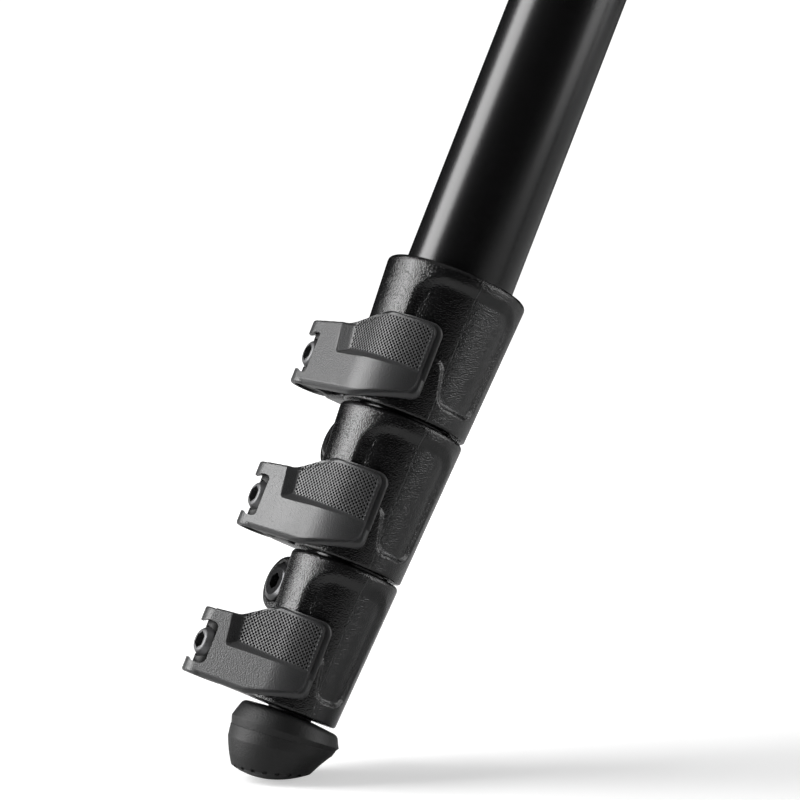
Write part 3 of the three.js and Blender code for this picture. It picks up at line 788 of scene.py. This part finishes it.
def lever_height(plan, along, up):
    """Thickness of the band, and how strongly the grip's pits are pressed there."""
    side, pad, grip = lever_outlines(plan)
    x, y = lever_plan(plan, along, LEVER_THICK)
    across = -x * math.sin(plan["view"]) + y * math.cos(plan["view"]) - plan["left"]
    edge = inside_by(side, across, up)
    on_pad, in_grip = inside_by(pad, across, up), inside_by(grip, across, up)
    height = FLANGE + (LEVER_THICK - FLANGE) * smooth(on_pad / PAD_SLOPE + 0.5)
    deepest = np.interp(across, GRIP_ACROSS, GRIP_DEPTHS)
    wall = np.clip(in_grip / GRIP_WALL_RUN, 0, None)
    sunk = deepest - np.log1p(np.exp((deepest - wall) * FLOOR_SHARPNESS)) / FLOOR_SHARPNESS
    height = height - np.clip(sunk, 0, None) * smooth(on_pad / GRIP_FADE + 1)
    soft = EDGE_ROUND - np.clip(edge, 0, EDGE_ROUND)
    height = height - (EDGE_ROUND - np.sqrt(np.clip(EDGE_ROUND**2 - soft**2, 0, None)))
    height = height - LOW_FALL * smooth((LOW_WIDTH - edge) / LOW_WIDTH) * (up < LEVER_TALL / 2)
    on_floor = smooth((in_grip - deepest * GRIP_WALL_RUN - 0.1) / PIT_FADE)
    return height, on_floor * smooth((on_pad - PIT_MARGIN) / PIT_FADE)


def lever_band(index):
    plan = lever_frame(index)
    length = plan["arc"] + plan["straight"]
    along = np.concatenate([np.arange(0, length, STEP), [length]])
    up = np.arange(-2 * STEP, PADDLE_TOP + 4 * STEP, STEP)
    grid_along, grid_up = np.meshgrid(along, up, indexing="ij")
    height, _ = lever_height(plan, grid_along, grid_up)
    outer = np.stack([*lever_plan(plan, grid_along, height), grid_up], axis=-1)
    edges = grid_along[:, [0, -1]]
    inner = np.stack([*lever_plan(plan, edges, 0 * edges), grid_up[:, [0, -1]]], axis=-1)
    columns, rows = len(along), len(up)
    points = np.concatenate([outer.reshape(-1, 3), inner.reshape(-1, 3)])
    base = columns * rows
    faces = []
    for i in range(columns - 1):
        a, b, p, q = i * rows, (i + 1) * rows, base + 2 * i, base + 2 * i + 2
        faces += [(a + j, b + j, b + j + 1, a + j + 1) for j in range(rows - 1)]
        faces += [(p, q, b, a), (q + 1, p + 1, a + rows - 1, b + rows - 1), (q, p, p + 1, q + 1)]
    last, end = (columns - 1) * rows, base + 2 * (columns - 1)
    faces.append((base, *range(rows), base + 1))
    faces.append((end + 1, *range(last + rows - 1, last - 1, -1), end))
    return plan, mesh_of(points, faces)


# %% [markdown]
# ### The pits of the grip
# The grip is a diamond lattice of hundreds of small round pits. A recipe pushes in every point that lies
# near a lattice corner: turning the flat place by 45 degrees makes the diamonds a square lattice, and
# the distance to the nearest whole numbers is the distance to the nearest pit.

# %% Painted shade in the pits of the lever's finish
PIT_PITCH, PIT_RADIUS, PIT_SHADE_DEPTH = 0.615, 0.19, 0.0003
# The pit colour is painted shade for the pits' bottoms; the other colour is a paler tone for the grip floor.
PIT_PAINTED_SHADE, GRIP_FLOOR_COLOUR = (0.001, 0.001, 0.001, 1), (0.055, 0.055, 0.056, 1)


def paint_pit_shade(material):
    """Paints shade into the grip's pits, near black and metallic, since hardly any light leaves a pit; the
    grip floor between them gets a paler colour.
    """
    tree = material.node_tree
    shader = tree.nodes["Principled BSDF"]
    away = lattice_distance(tree, attribute(tree, "flat", "Vector"), PIT_PITCH)
    # Where hole marks a pit, the colour is painted shade: near black, and metallic so no diffuse light comes
    # back.
    hole = ranged(tree, away, 1, 0, 0.7 * PIT_RADIUS, 1.3 * PIT_RADIUS)
    hole = maths(tree, "MULTIPLY", hole, attribute(tree, "pits", "Fac"))
    # A paler colour over the whole grip floor, wherever the pits attribute is set.
    grip_floor = blended(tree, attribute(tree, "pits", "Fac"), above_it(shader, "Base Color"), GRIP_FLOOR_COLOUR)
    tree.links.new(blended(tree, hole, grip_floor, PIT_PAINTED_SHADE), shader.inputs["Base Color"])
    tree.links.new(hole, shader.inputs["Metallic"])
    dent = add(
        tree, "ShaderNodeBump", {"invert": True},
        Height=hole, Distance=PIT_SHADE_DEPTH, Normal=above_it(shader, "Normal"),
    )
    tree.links.new(dent.outputs[0], shader.inputs["Normal"])


paint_pit_shade(lever_plastic)

# %% Recipe for the pits
pit_recipe, start = new_recipe("grip_pits", {"Pitch": FLOAT, "Pit radius": FLOAT, "Depth": FLOAT})
tree, sizes = pit_recipe, start.outputs
flat = add(tree, "GeometryNodeInputNamedAttribute", {"data_type": "FLOAT_VECTOR"}, Name="flat")
strength = add(tree, "GeometryNodeInputNamedAttribute", {"data_type": "FLOAT"}, Name="pits")
away = lattice_distance(tree, flat.outputs["Attribute"], sizes["Pitch"])
dip = add(
    tree, "ShaderNodeMapRange", {"interpolation_type": "SMOOTHSTEP"},
    _0=away, _1=0.0, _2=sizes["Pit radius"], _3=sizes["Depth"], _4=0.0,
)
push = maths(tree, "MULTIPLY", dip.outputs[0], strength.outputs["Attribute"])
push = maths(tree, "MULTIPLY", push, -1.0)
normal = tree.nodes.new("GeometryNodeInputNormal")
offset = add(tree, "ShaderNodeVectorMath", {"operation": "SCALE"}, _0=normal.outputs[0], Scale=push)
pushed = add(tree, "GeometryNodeSetPosition", Geometry=sizes["Geometry"], Offset=offset.outputs[0])
finish_recipe(tree, start, pushed.outputs[0])

# %% Three levers, trimmed, joined to their pivot barrels and pitted
NOTCH_DEPTH, NOTCH_STEP, NOTCH_BACK, FAR = 2.2, 0.8, -20, 40
PIT_DENT, PIT_DENT_RADIUS = 0.12, 0.27


def lever(index):
    plan, band = lever_band(index)
    side, _, _ = lever_outlines(plan)
    facing = Matrix.Rotation(plan["view"] + math.pi / 2, 4, "Z") @ Matrix.Rotation(math.pi / 2, 4, "X")
    trim = moved(prism(side + [plan["left"], 0], -FAR, FAR), facing)
    pivot = Matrix.Translation((PIVOT, plan["side"], 0))
    barrel = moved(rod(BARREL, 0, LEVER_TALL, 0.45), pivot)
    space = rounded([(0, 2.5), (3.9, 2.5), (3.9, 10.7), (0, 10.7)], [0, 1, 1, 0], 6)
    space = moved(turned(space, 72), pivot)
    deep = NOTCH_DEPTH + NOTCH_STEP * index
    mouth = rounded(
        [
            (-9, 2.8), (0.6, 2.8), (1.2, 2.3), (deep, 2.3),
            (deep, 11.0), (1.2, 11.0), (0.5, 10.5), (-9, 10.5),
        ],
        [0, 0.3, 0.4, 1.9, 1.6, 0.4, 0.3, 0], 8,
    )
    mouth = moved(prism(mouth + [plan["left"], 0], NOTCH_BACK, FAR), facing)
    bore = moved(rod(PIN + GAP, -BEYOND, LEVER_TALL + BEYOND, sides=48), pivot)
    mesh = shaped(shaped(band, keep=[trim]), [barrel], [space, mouth, bore])
    x, y, up = points_of(mesh).T
    angle = np.arctan2(y, x)
    run = x * math.sin(plan["lean"]) - y * math.cos(plan["lean"])
    on_arc = angle > plan["lean"]
    along = np.where(on_arc, (LEVER_END - angle) * plan["outer"], plan["arc"] + run)
    off_arc = x * math.cos(plan["lean"]) + y * math.sin(plan["lean"])
    lift = np.where(on_arc, np.hypot(x, y), off_arc) - plan["inner"]
    height, pits = lever_height(plan, along, up)
    pits = np.where(np.abs(lift - height) < 0.1, pits, 0)
    write_attribute(mesh, "flat", "FLOAT_VECTOR", "vector", np.stack([along, up, 0 * up], axis=-1))
    write_attribute(mesh, "pits", "FLOAT", "value", pits)
    return run_recipe(
        pit_recipe, mesh, lever_plastic, Pitch=PIT_PITCH, Pit_radius=PIT_DENT_RADIUS, Depth=PIT_DENT
    )


for index in range(3):
    mesh, node = lever(index), f"lock_{index + 1}_lever"
    on_legs(node, "moulded", mesh, node, lever_plastic, lock_place(index))
    print(f"lever {index + 1}:", len(mesh.polygons), "faces")

# %% [markdown]
# ## Repeats round an axis and along a line
# Scallops of a knob, notches of a sole and ribs of a pad are one shape turned again and again round Z, and
# the ribs of a pull tab are one shape stepped along X. One recipe does both: it puts the same mesh on a
# number of points, each a step further along and a turn further round than the last.

# %% Recipe for repeats
repeat_recipe, start = new_recipe("repeat", {"Count": COUNT, "Turn": FLOAT, "Step": FLOAT})
tree, sizes = repeat_recipe, start.outputs
number = tree.nodes.new("GeometryNodeInputIndex").outputs[0]
stepped = add(tree, "ShaderNodeCombineXYZ", X=maths(tree, "MULTIPLY", number, sizes["Step"]))
turning = add(tree, "ShaderNodeCombineXYZ", Z=maths(tree, "MULTIPLY", number, sizes["Turn"]))
points = add(tree, "GeometryNodePoints", Count=sizes["Count"], Position=stepped.outputs[0])
copies = add(
    tree, "GeometryNodeInstanceOnPoints", Points=points.outputs[0], Instance=sizes["Geometry"],
    Rotation=turning.outputs[0],
)
finish_recipe(tree, start, copies.outputs[0])


def round_z(mesh, count):
    return run_recipe(repeat_recipe, mesh, lever_plastic, Count=count, Turn=2 * math.pi / count, Step=0.0)


def in_line(mesh, count, step):
    return run_recipe(repeat_recipe, mesh, lever_plastic, Count=count, Turn=0.0, Step=step)


# %% [markdown]
# ## Tension screws
# A lever pulls on a screw that crosses its pivot pin. The screw has a button head in the lever's notch and a
# nut behind the ears; its rounded rim and dark hex socket are what shows. The pin is blackened, with a flat
# spot under the head, and stays in the dark of the notch, so it has a duller finish of its own.

# %% Tension screws
HEAD, NUT = 3.2, (-13.3, -10.3)


def tension_screw(index):
    at = Matrix.Translation((0, screw_side(index), LEVER_TALL / 2))
    head = rounded(
        [(0, 14.6), (HEAD, 14.6), (HEAD, 18.2), (2.2, 19.5), (0, 19.5)], [0, 0.2, 0.9, 0.8, 0], 6
    )
    shank = rod(SHAFT, -13.1, PIVOT, 0.3, axis="X", sides=48)
    nut = shaped(lain(hex_bar(3.6, *NUT)), keep=[rod(3.75, *NUT, 0.7, axis="X", sides=48)])
    return moved(shaped(turned(head, 64, "X"), [shank, nut], [lain(hex_bar(1.75, 17.2, 22))]), at)


def pivot_pin(index):
    """The pin the lever turns on, with a flat spot for the screw's head."""
    side = screw_side(index)
    pin = rod(PIN, 0.4, LEVER_TALL - 0.4, 0.35, at=(PIVOT, side, 0), sides=64)
    spot = rod(HEAD, 14.5, 24, axis="X", at=(0, side, LEVER_TALL / 2), sides=64)
    return shaped(pin, [], [spot])


for index in range(3):
    lock, body, there = f"lock_{index + 1}", BODIES[index], lock_place(index)
    mesh = tension_screw(index)
    on_legs(f"{lock}_screw", "turned", mesh, body, head_steel, there)
    on_legs(lock, "pivot_pin", pivot_pin(index), body, pin_steel, there, stands_for_node=False)
print("tension screw:", len(mesh.polygons), "faces")

# %% [markdown]
# ## Rubber feet
# The foot is a moulded bell: a flat shoulder under the lock, a sharp widest ring, sides that draw in and a
# slightly domed sole. The whole bell leans more and more towards its sole, so that it stands flat although
# the leg slants. Small blocks are left between notches at the sole's edge, where the rubber grips.

# %% Feet


def fine_steps(outline, step):
    """The outline with its long edges divided, so that it can be bent later."""
    points = [outline[0]]
    for a, b in zip(outline[:-1], outline[1:]):
        parts = max(1, math.ceil(np.linalg.norm(b - a) / step))
        points += [a + (b - a) * k / parts for k in range(1, parts + 1)]
    return np.array(points)


SOLE_CURVE, SOLE_EDGE = 18, 7.6
LEAN, BOOT_SHIFT = 0.28, (-0.5, 0.27)


def rubber_foot():
    """The bell, its notches, and then its lean and the small play of the boot on its tube."""
    angles = np.linspace(0, math.asin(SOLE_EDGE / SOLE_CURVE), 9)
    rise = 1.2 * SOLE_CURVE
    dome = [(SOLE_CURVE * math.sin(a), rise * (1 - math.cos(a)) - 0.25) for a in angles]
    corners = [
        *dome, (8.85, 4.0), (10.25, 6.6), (10.6, 8.3), (10.52, 8.4), (11.0, 9.5), (9.9, 12.4), (4.5, 12.98),
        (4.5, 24.5), (0, 24.5),
    ]
    radii = [0] * 8 + [0.5, 0.8, 0.8, 0, 0, 0.12, 1.3, 0, 0.3, 0]
    mesh = turned(fine_steps(rounded(corners, radii), 0.7))
    groove = block((6.9, -0.45, -3), (12, 0.45, 2.1), 0.2)
    mesh = shaped(mesh, [], [round_z(groove, 20)])
    places = points_of(mesh)
    low = smooth((13.2 - places[:, 2]) / 0.9)
    places[:, 2] -= LEAN * places[:, 0] * smooth((12.5 - places[:, 2]) / 9.5)
    places[:, :2] += low[:, None] * BOOT_SHIFT
    mesh.vertices.foreach_set("co", places.ravel())
    return moved(mesh, Matrix.Translation((0, 0, -LEG_LENGTH)))


mesh = rubber_foot()
on_legs("foot", "rubber", mesh, "fourth", foot_rubber)
print("foot:", len(mesh.polygons), "faces")

# %% [markdown]
# ## Knuckles, latches and hinge bolts
# At the top of a leg a casting holds the thickest tube and ends in the hinge's eye. A grey catch slides on it
# and stops the leg at its first angle: it has a pull tab with ribs for a finger nail. A socket-head bolt goes
# through two ears of the shoulder and the eye.

# %% Knuckle, angle latch and hinge bolt
EYE, EYE_HALF, BOLT_HOLE, SOCKET_TOP, SOCKET_LOW = 9.5, 7.8, 3.3, -15, -41
outer = FIRST_TUBE + GAP + 2.05
waist = outer - 0.5
bell = rounded(
    [
        (0, SOCKET_LOW), (outer, SOCKET_LOW), (outer, -36.5), (waist, -36), (waist, -20),
        (outer, -19.5), (outer, SOCKET_TOP), (0, SOCKET_TOP),
    ],
    [0, 0.8, 0.3, 0.3, 0.3, 0.3, 1.6, 0],
)
neck = block((-8, -EYE_HALF, -17), (8, EYE_HALF, 0.5), 1.4)
eye = rod(EYE, -EYE_HALF, EYE_HALF, 0.7, axis="Y")
web = block((-1.6, -outer + 0.6, -30), (1.6, outer - 0.6, -16), 0.7)
knuckle = shaped(
    turned(bell), [neck, eye, web],
    [
        rod(FIRST_TUBE + GAP, SOCKET_LOW - BEYOND, -18), rod(BOLT_HOLE, -20, 20, axis="Y", sides=48),
        block((-5, -20, -12.5), (5, -EYE_HALF + 0.8, -8.6)),
        block((-5, EYE_HALF - 0.8, -12.5), (5, 20, -8.6)),
    ],
)
latch_low, latch_high = SOCKET_TOP + GAP, SOCKET_TOP + GAP + 3.7
ribs = in_line(block((12.2, -5.6, latch_high - 0.5), (12.7, 5.6, latch_high), 0.2), 3, 1.0)
latch = shaped(
    block((-4, -12, latch_low), (12.5, 12, latch_high - 0.35), 0.8),
    [block((8.3, -7, latch_low), (15.5, 7, latch_high - 0.35), 0.8), ribs],
    [block((-8, -8.1, latch_low - 3), (8.3, 8.1, latch_high + 3), 0.6)],
)
head_low, head_high = 13.4, 15.6
heads, sockets = [], []
for side in (1, -1):
    tip = Matrix.Rotation(-side * math.pi / 2, 4, "X")
    low, high = sorted((side * head_low, side * head_high))
    heads.append(rod(5, low, high, 0.7, axis="Y", sides=72))
    sockets.append(moved(hex_bar(2.35, head_high - 2, head_high + 3), tip))
bolt = shaped(rod(3, -head_high + 0.3, head_high - 0.3, axis="Y", sides=48), heads, sockets)
on_legs("knuckle", "cast", knuckle, "upper", powder_coat)
on_legs("angle_latch", "moulded", latch, "angle_latch", catch_plastic)
for leg in (1, 2, 3):
    level = leg_place(leg) @ Matrix.Rotation(math.radians(SPREAD), 4, "Y")
    node = f"leg_{leg}_hinge_bolt"
    placed(f"{node}_turned", bolt, level, "shoulder", screw_steel, [node])
print("knuckle, latch and bolt:", [len(mesh.polygons) for mesh in (knuckle, latch, bolt)], "faces")

# %% [markdown]
# ## Shoulder and centre column
# The shoulder is one casting: a hub with three pairs of rounded ears and a boss for the column's lock. The
# column is a larger drawn tube with a plate on top, a rubber pad with ribs, and a 3/8 inch camera screw. Its
# thread is a ridge that a recipe sweeps along a spiral, which keeps the pitch as one number.

# %% Shoulder casting
HUB, HUB_TOP, HUB_LOW, EARS_GAP, EARS_HALF = 17.5, -32.6, -57.6, 8.1, 13.1
rim, rise = HUB - 0.8, 2.5
hub = rounded(
    [
        (0, HUB_LOW), (rim, HUB_LOW), (HUB, HUB_LOW + rise),
        (HUB, HUB_TOP - rise), (rim, HUB_TOP), (0, HUB_TOP),
    ],
    [0, 0.8, 0.8, 0.8, 0.8, 0],
)
lugs, gaps = [], []
for leg in (1, 2, 3):
    turn = Matrix.Rotation(math.radians(FIRST_AZIMUTH + 120 * (leg - 1)), 4, "Z")
    turn = Matrix.Translation((0, 0, HINGE_HEIGHT)) @ turn
    lugs.append(moved(block((4, -EARS_HALF, -10), (HINGE_RADIUS, EARS_HALF, 10), 1.2), turn))
    lugs.append(moved(rod(10, -EARS_HALF, EARS_HALF, 1.2, axis="Y", at=(HINGE_RADIUS, 0, 0)), turn))
    gaps.append(moved(block((HUB + 0.2, -EARS_GAP, -13), (52, EARS_GAP, 13)), turn))
    gaps.append(moved(rod(BOLT_HOLE, -20, 20, axis="Y", at=(HINGE_RADIUS, 0, 0), sides=48), turn))
knob_turn = Matrix.Translation((0, 0, HINGE_HEIGHT)) @ Matrix.Rotation(math.radians(30), 4, "Z")
lugs.append(moved(rod(6.5, 4, 22, 0.8, axis="X", sides=72), knob_turn))
gaps.append(moved(rod(3.3, 4, 26, axis="X", sides=48), knob_turn))
gaps.append(rod(13.7, HUB_LOW - BEYOND, HUB_TOP + BEYOND))
on_axis("shoulder", "cast", shaped(turned(hub), lugs, gaps), powder_coat, "shoulder")
print("ears and gaps of the shoulder:", len(lugs), len(gaps))

# %% Column, bush, top plate and pad
COLUMN, COLUMN_WALL, COLUMN_TOP, COLUMN_LOW = 11, 1.4, -18.3, -248.3
column = tube(COLUMN, COLUMN_WALL, COLUMN_LOW, COLUMN_TOP, 0.3)
on_axis("centre_column", "drawn", column, tube_metal)
PLATE_BORE = 5.06
bush = rounded(
    [(11.3, -60.6), (13.4, -60.6), (13.4, -32.3), (16.5, -32.3), (16.5, -30.3), (11.3, -30.3)],
    [0.3, 0.5, 0, 0.4, 0.7, 0.5],
)
bush_cuts = round_z(block((15.9, -0.5, -33), (17.5, 0.5, -29)), 36)
on_axis("column_bush", "moulded", shaped(turned(bush), [], [bush_cuts]), lock_plastic, "shoulder")
plate = rounded(
    [
        (PLATE_BORE, -18), (11.3, -18), (11.3, -30), (14.5, -30), (14.5, -18),
        (19, -18), (20, -17), (20, -11.3), (PLATE_BORE, -11.3),
    ],
    [0.1, 0.1, 0.3, 0.7, 0.8, 0.3, 0.3, 0.8, 0.2],
)
set_screw = rod(1.3, 14, 22, axis="X", at=(0, 0, -14.6), sides=24)
clamp_hole = rod(1.5, 12.6, 20, axis="X", at=(0, 0, -25), sides=24)
plate = shaped(turned(plate), [], [round_z(set_screw, 3), round_z(clamp_hole, 2)])
on_axis("top_plate", "turned", plate, powder_coat)
pad = rounded([(PLATE_BORE, -11), (19.4, -11), (19.4, -9.9), (PLATE_BORE, -9.9)], [0.1, 0.1, 0.4, 0.2])
rib = block((6.4, -0.42, -10.3), (18.6, 0.42, -9.5), 0.2)
pad = shaped(turned(pad), [round_z(rib, 40)])
on_axis("plate_pad", "ribbed", pad, pad_rubber)
print("pad:", len(pad.polygons), "faces")

# %% Camera screw with its thread
thread_recipe, start = new_recipe(
    "thread", dict.fromkeys(("Core radius", "Bottom", "Length", "Pitch", "Ridge"), FLOAT)
)
tree, sizes = thread_recipe, start.outputs
turns = maths(tree, "DIVIDE", sizes["Length"], sizes["Pitch"])
spiral = add(
    tree, "GeometryNodeCurveSpiral", Resolution=48, Rotations=turns,
    Start_Radius=sizes["Core radius"], End_Radius=sizes["Core radius"], Height=sizes["Length"],
)
ridge = add(
    tree, "GeometryNodeCurvePrimitiveCircle", {"mode": "RADIUS"}, Resolution=4, Radius=sizes["Ridge"]
)
swept = add(
    tree, "GeometryNodeCurveToMesh",
    Curve=spiral.outputs[0], Profile_Curve=ridge.outputs[0], Fill_Caps=True,
)
lift = add(tree, "ShaderNodeCombineXYZ", Z=sizes["Bottom"])
stood = add(tree, "GeometryNodeTransform", Geometry=swept.outputs[0], Translation=lift.outputs[0])
finish_recipe(tree, start, stood.outputs[0])
CORE, INCH = 4.1, 25.4
stud = turned(rounded(
    [(0, -21.5), (8, -21.5), (8, -18.3), (CORE, -18.3), (CORE, -0.6), (3.5, 0), (0, 0)],
    [0, 0.3, 0.3, 0.2, 0.2, 0.1, 0],
))
thread = run_recipe(
    thread_recipe, bpy.data.meshes.new("empty"), bright_steel,
    Core_radius=CORE, Bottom=-11.5, Length=10.2, Pitch=INCH / 16, Ridge=0.64,
)
camera_screw = shaped(stud, [thread], [hex_bar(2.4, -2.2, 2)])
on_axis("camera_screw", "threaded", camera_screw, bright_steel)
print("camera screw:", len(camera_screw.polygons), "faces")

# %% Column lock knob, end cap and weight hook
grip_body = turned(rounded([(0, 22.3), (11, 22.3), (11, 36.3), (0, 36.3)], [0, 1, 1.6, 0]))
scallop = rod(2.6, 20, 38, at=(12.3, 0, 0), sides=32)
cap_ring = turned(rounded([(7.2, 35.8), (7.9, 35.8), (7.9, 37), (7.2, 37)], [0, 0, 0, 0]), 72)
knob = shaped(grip_body, [rod(3, 13.7, 24, 0.3, sides=48)], [round_z(scallop, 8), cap_ring])
knob_place = CENTRE @ knob_turn @ Matrix.Rotation(math.pi / 2, 4, "Y")
node = "column_lock_knob"
placed(f"{node}_moulded", knob, knob_place, node, lock_plastic, [node])
end_cap = rounded(
    [
        (2.3, -251.6), (11.2, -251.6), (12.2, -250.6), (12.2, -248.6),
        (9.3, -248.6), (9.3, -238.6), (2.3, -238.6),
    ],
    [0.2, 0.5, 0.5, 0.4, 0.2, 0.4, 0.2],
)
on_axis("column_end_cap", "moulded", turned(end_cap), lock_plastic)
angles, wire = full_turn(64)[:, None], full_turn(20)[None, :]
RING, RING_WIRE, RING_HEIGHT = 6.5, 1.5, -259.9
reach = RING + RING_WIRE * np.cos(wire)
aside = RING_WIRE * np.sin(wire) + 0 * angles
ring = np.stack([reach * np.cos(angles), aside, reach * np.sin(angles) + RING_HEIGHT], axis=-1)
hook_stem = rod(2, -253.6, -226.1, 0.3, sides=48)
hook_head = rod(4, -228, -226, 0.3, sides=48)
hook_root = rod(2.5, -254.6, -252, 0.4, sides=48)
hook = shaped(woven(ring, True), [hook_stem, hook_head, hook_root])
on_axis("weight_hook", "bent", hook, bright_steel, "weight_hook")

# %% [markdown]
# ## Floor, light and camera
# The object stands on a plain pale floor in a dark studio: one tall soft box on the left draws the long
# highlight on tubes and clamps, a wider and weaker one fills the right side, and a dim ceiling lights what
# faces up. The floor is a light table: it glows for the camera, so it stays white round the soft shadows.

# %% Floor
FLOOR_REACH, TABLE_NEAR, TABLE_FAR, FADE = 8.0, 0.47, 1.0, (0.15, 0.7)
foot_place = leg_place(1) @ Vector((0, 0, -LEG_LENGTH))
floor_mesh = bpy.data.meshes.new("floor")
signs = ((-1, -1), (1, -1), (1, 1), (-1, 1))
corners = [(x * FLOOR_REACH, y * FLOOR_REACH, cad_low.z) for x, y in signs]
floor_mesh.from_pydata(corners, [], [(0, 1, 2, 3)])
floor = put("studio_floor", floor_mesh)
paper, tree, shader = finish("paper", (0.7, 0.7, 0.7), 0.9, 0.0, 0.1)
away = add(
    tree, "ShaderNodeVectorMath", {"operation": "DISTANCE"}, _0=object_place(tree), _1=tuple(foot_place)
).outputs["Value"]
glow = ranged(tree, away, TABLE_NEAR, TABLE_FAR, *FADE)
seen = tree.nodes.new("ShaderNodeLightPath").outputs["Is Camera Ray"]
glow = maths(tree, "MULTIPLY", glow, seen)
shader.inputs["Emission Color"].default_value = (1, 1, 1, 1)
tree.links.new(glow, shader.inputs["Emission Strength"])
floor_mesh.materials.append(paper)

# %% World: dim ceiling, dark room, white background
CEILING, CEILING_EDGE, ROOM, BACKDROP = 0.35, (0.55, 0.95), 0.004, 1.1
world = bpy.data.worlds.new("studio")
world.use_nodes = True
tree = world.node_tree
sky = tree.nodes["Background"]
sky.inputs["Color"].default_value = (1, 1, 1, 1)
towards = tree.nodes.new("ShaderNodeTexCoord").outputs["Generated"]
direction = add(tree, "ShaderNodeSeparateXYZ", Vector=towards)
ceiling = ranged(tree, direction.outputs["Z"], ROOM, CEILING, *CEILING_EDGE)
seen = tree.nodes.new("ShaderNodeLightPath").outputs["Is Camera Ray"]
strength = add(tree, "ShaderNodeMix", {"data_type": "FLOAT"}, _0=seen, _2=ceiling, _3=BACKDROP)
tree.links.new(strength.outputs[0], sky.inputs["Strength"])
bpy.context.scene.world = world
print("ceiling", CEILING, "room", ROOM, "backdrop", BACKDROP)

# %% Soft boxes
AIM = leg_place(1) @ Vector((0, 0, lock_bottom(1)))


def soft_box(name, offset, size, power):
    """A soft box at an offset from the middle clamp, facing it."""
    data = bpy.data.lights.new(name, "AREA")
    data.shape, data.size, data.size_y, data.energy = "RECTANGLE", *size, power
    light = put(name, data)
    light.location = AIM + Vector(offset)
    light.rotation_euler = (-Vector(offset)).to_track_quat("-Z", "Y").to_euler()


soft_box("key_box", (-1.18, -0.04, 0.36), (0.74, 1.55), 42)
soft_box("fill_box", (1.2, -0.1, 0.0), (0.9, 1.4), 18)
print("soft boxes aim at", [round(v, 3) for v in AIM])

# %% [markdown]
# ### Camera
# The photograph was taken from just above the first clamp through a long lens, turned by half a degree. The
# place was found by laying the render's silhouette over the photograph's, row by row.

# %% Camera at the photograph's angle
VIEW_ANGLE, PITCH, ROLL = math.radians(16.53), math.radians(3.905), math.radians(0.5)
camera = put("camera", bpy.data.cameras.new("camera"))
camera.location = (-0.141, -0.628, cad_low.z + 0.1108)
camera.matrix_basis = camera.matrix_basis @ (
    Matrix.Rotation(math.pi / 2 - PITCH, 4, "X") @ Matrix.Rotation(ROLL, 4, "Z")
)
camera.data.lens = camera.data.sensor_width / 2 / math.tan(VIEW_ANGLE / 2)
bpy.context.scene.camera = camera
bpy.context.scene.view_settings.view_transform = "Standard"
print("lens in mm:", round(camera.data.lens, 1))
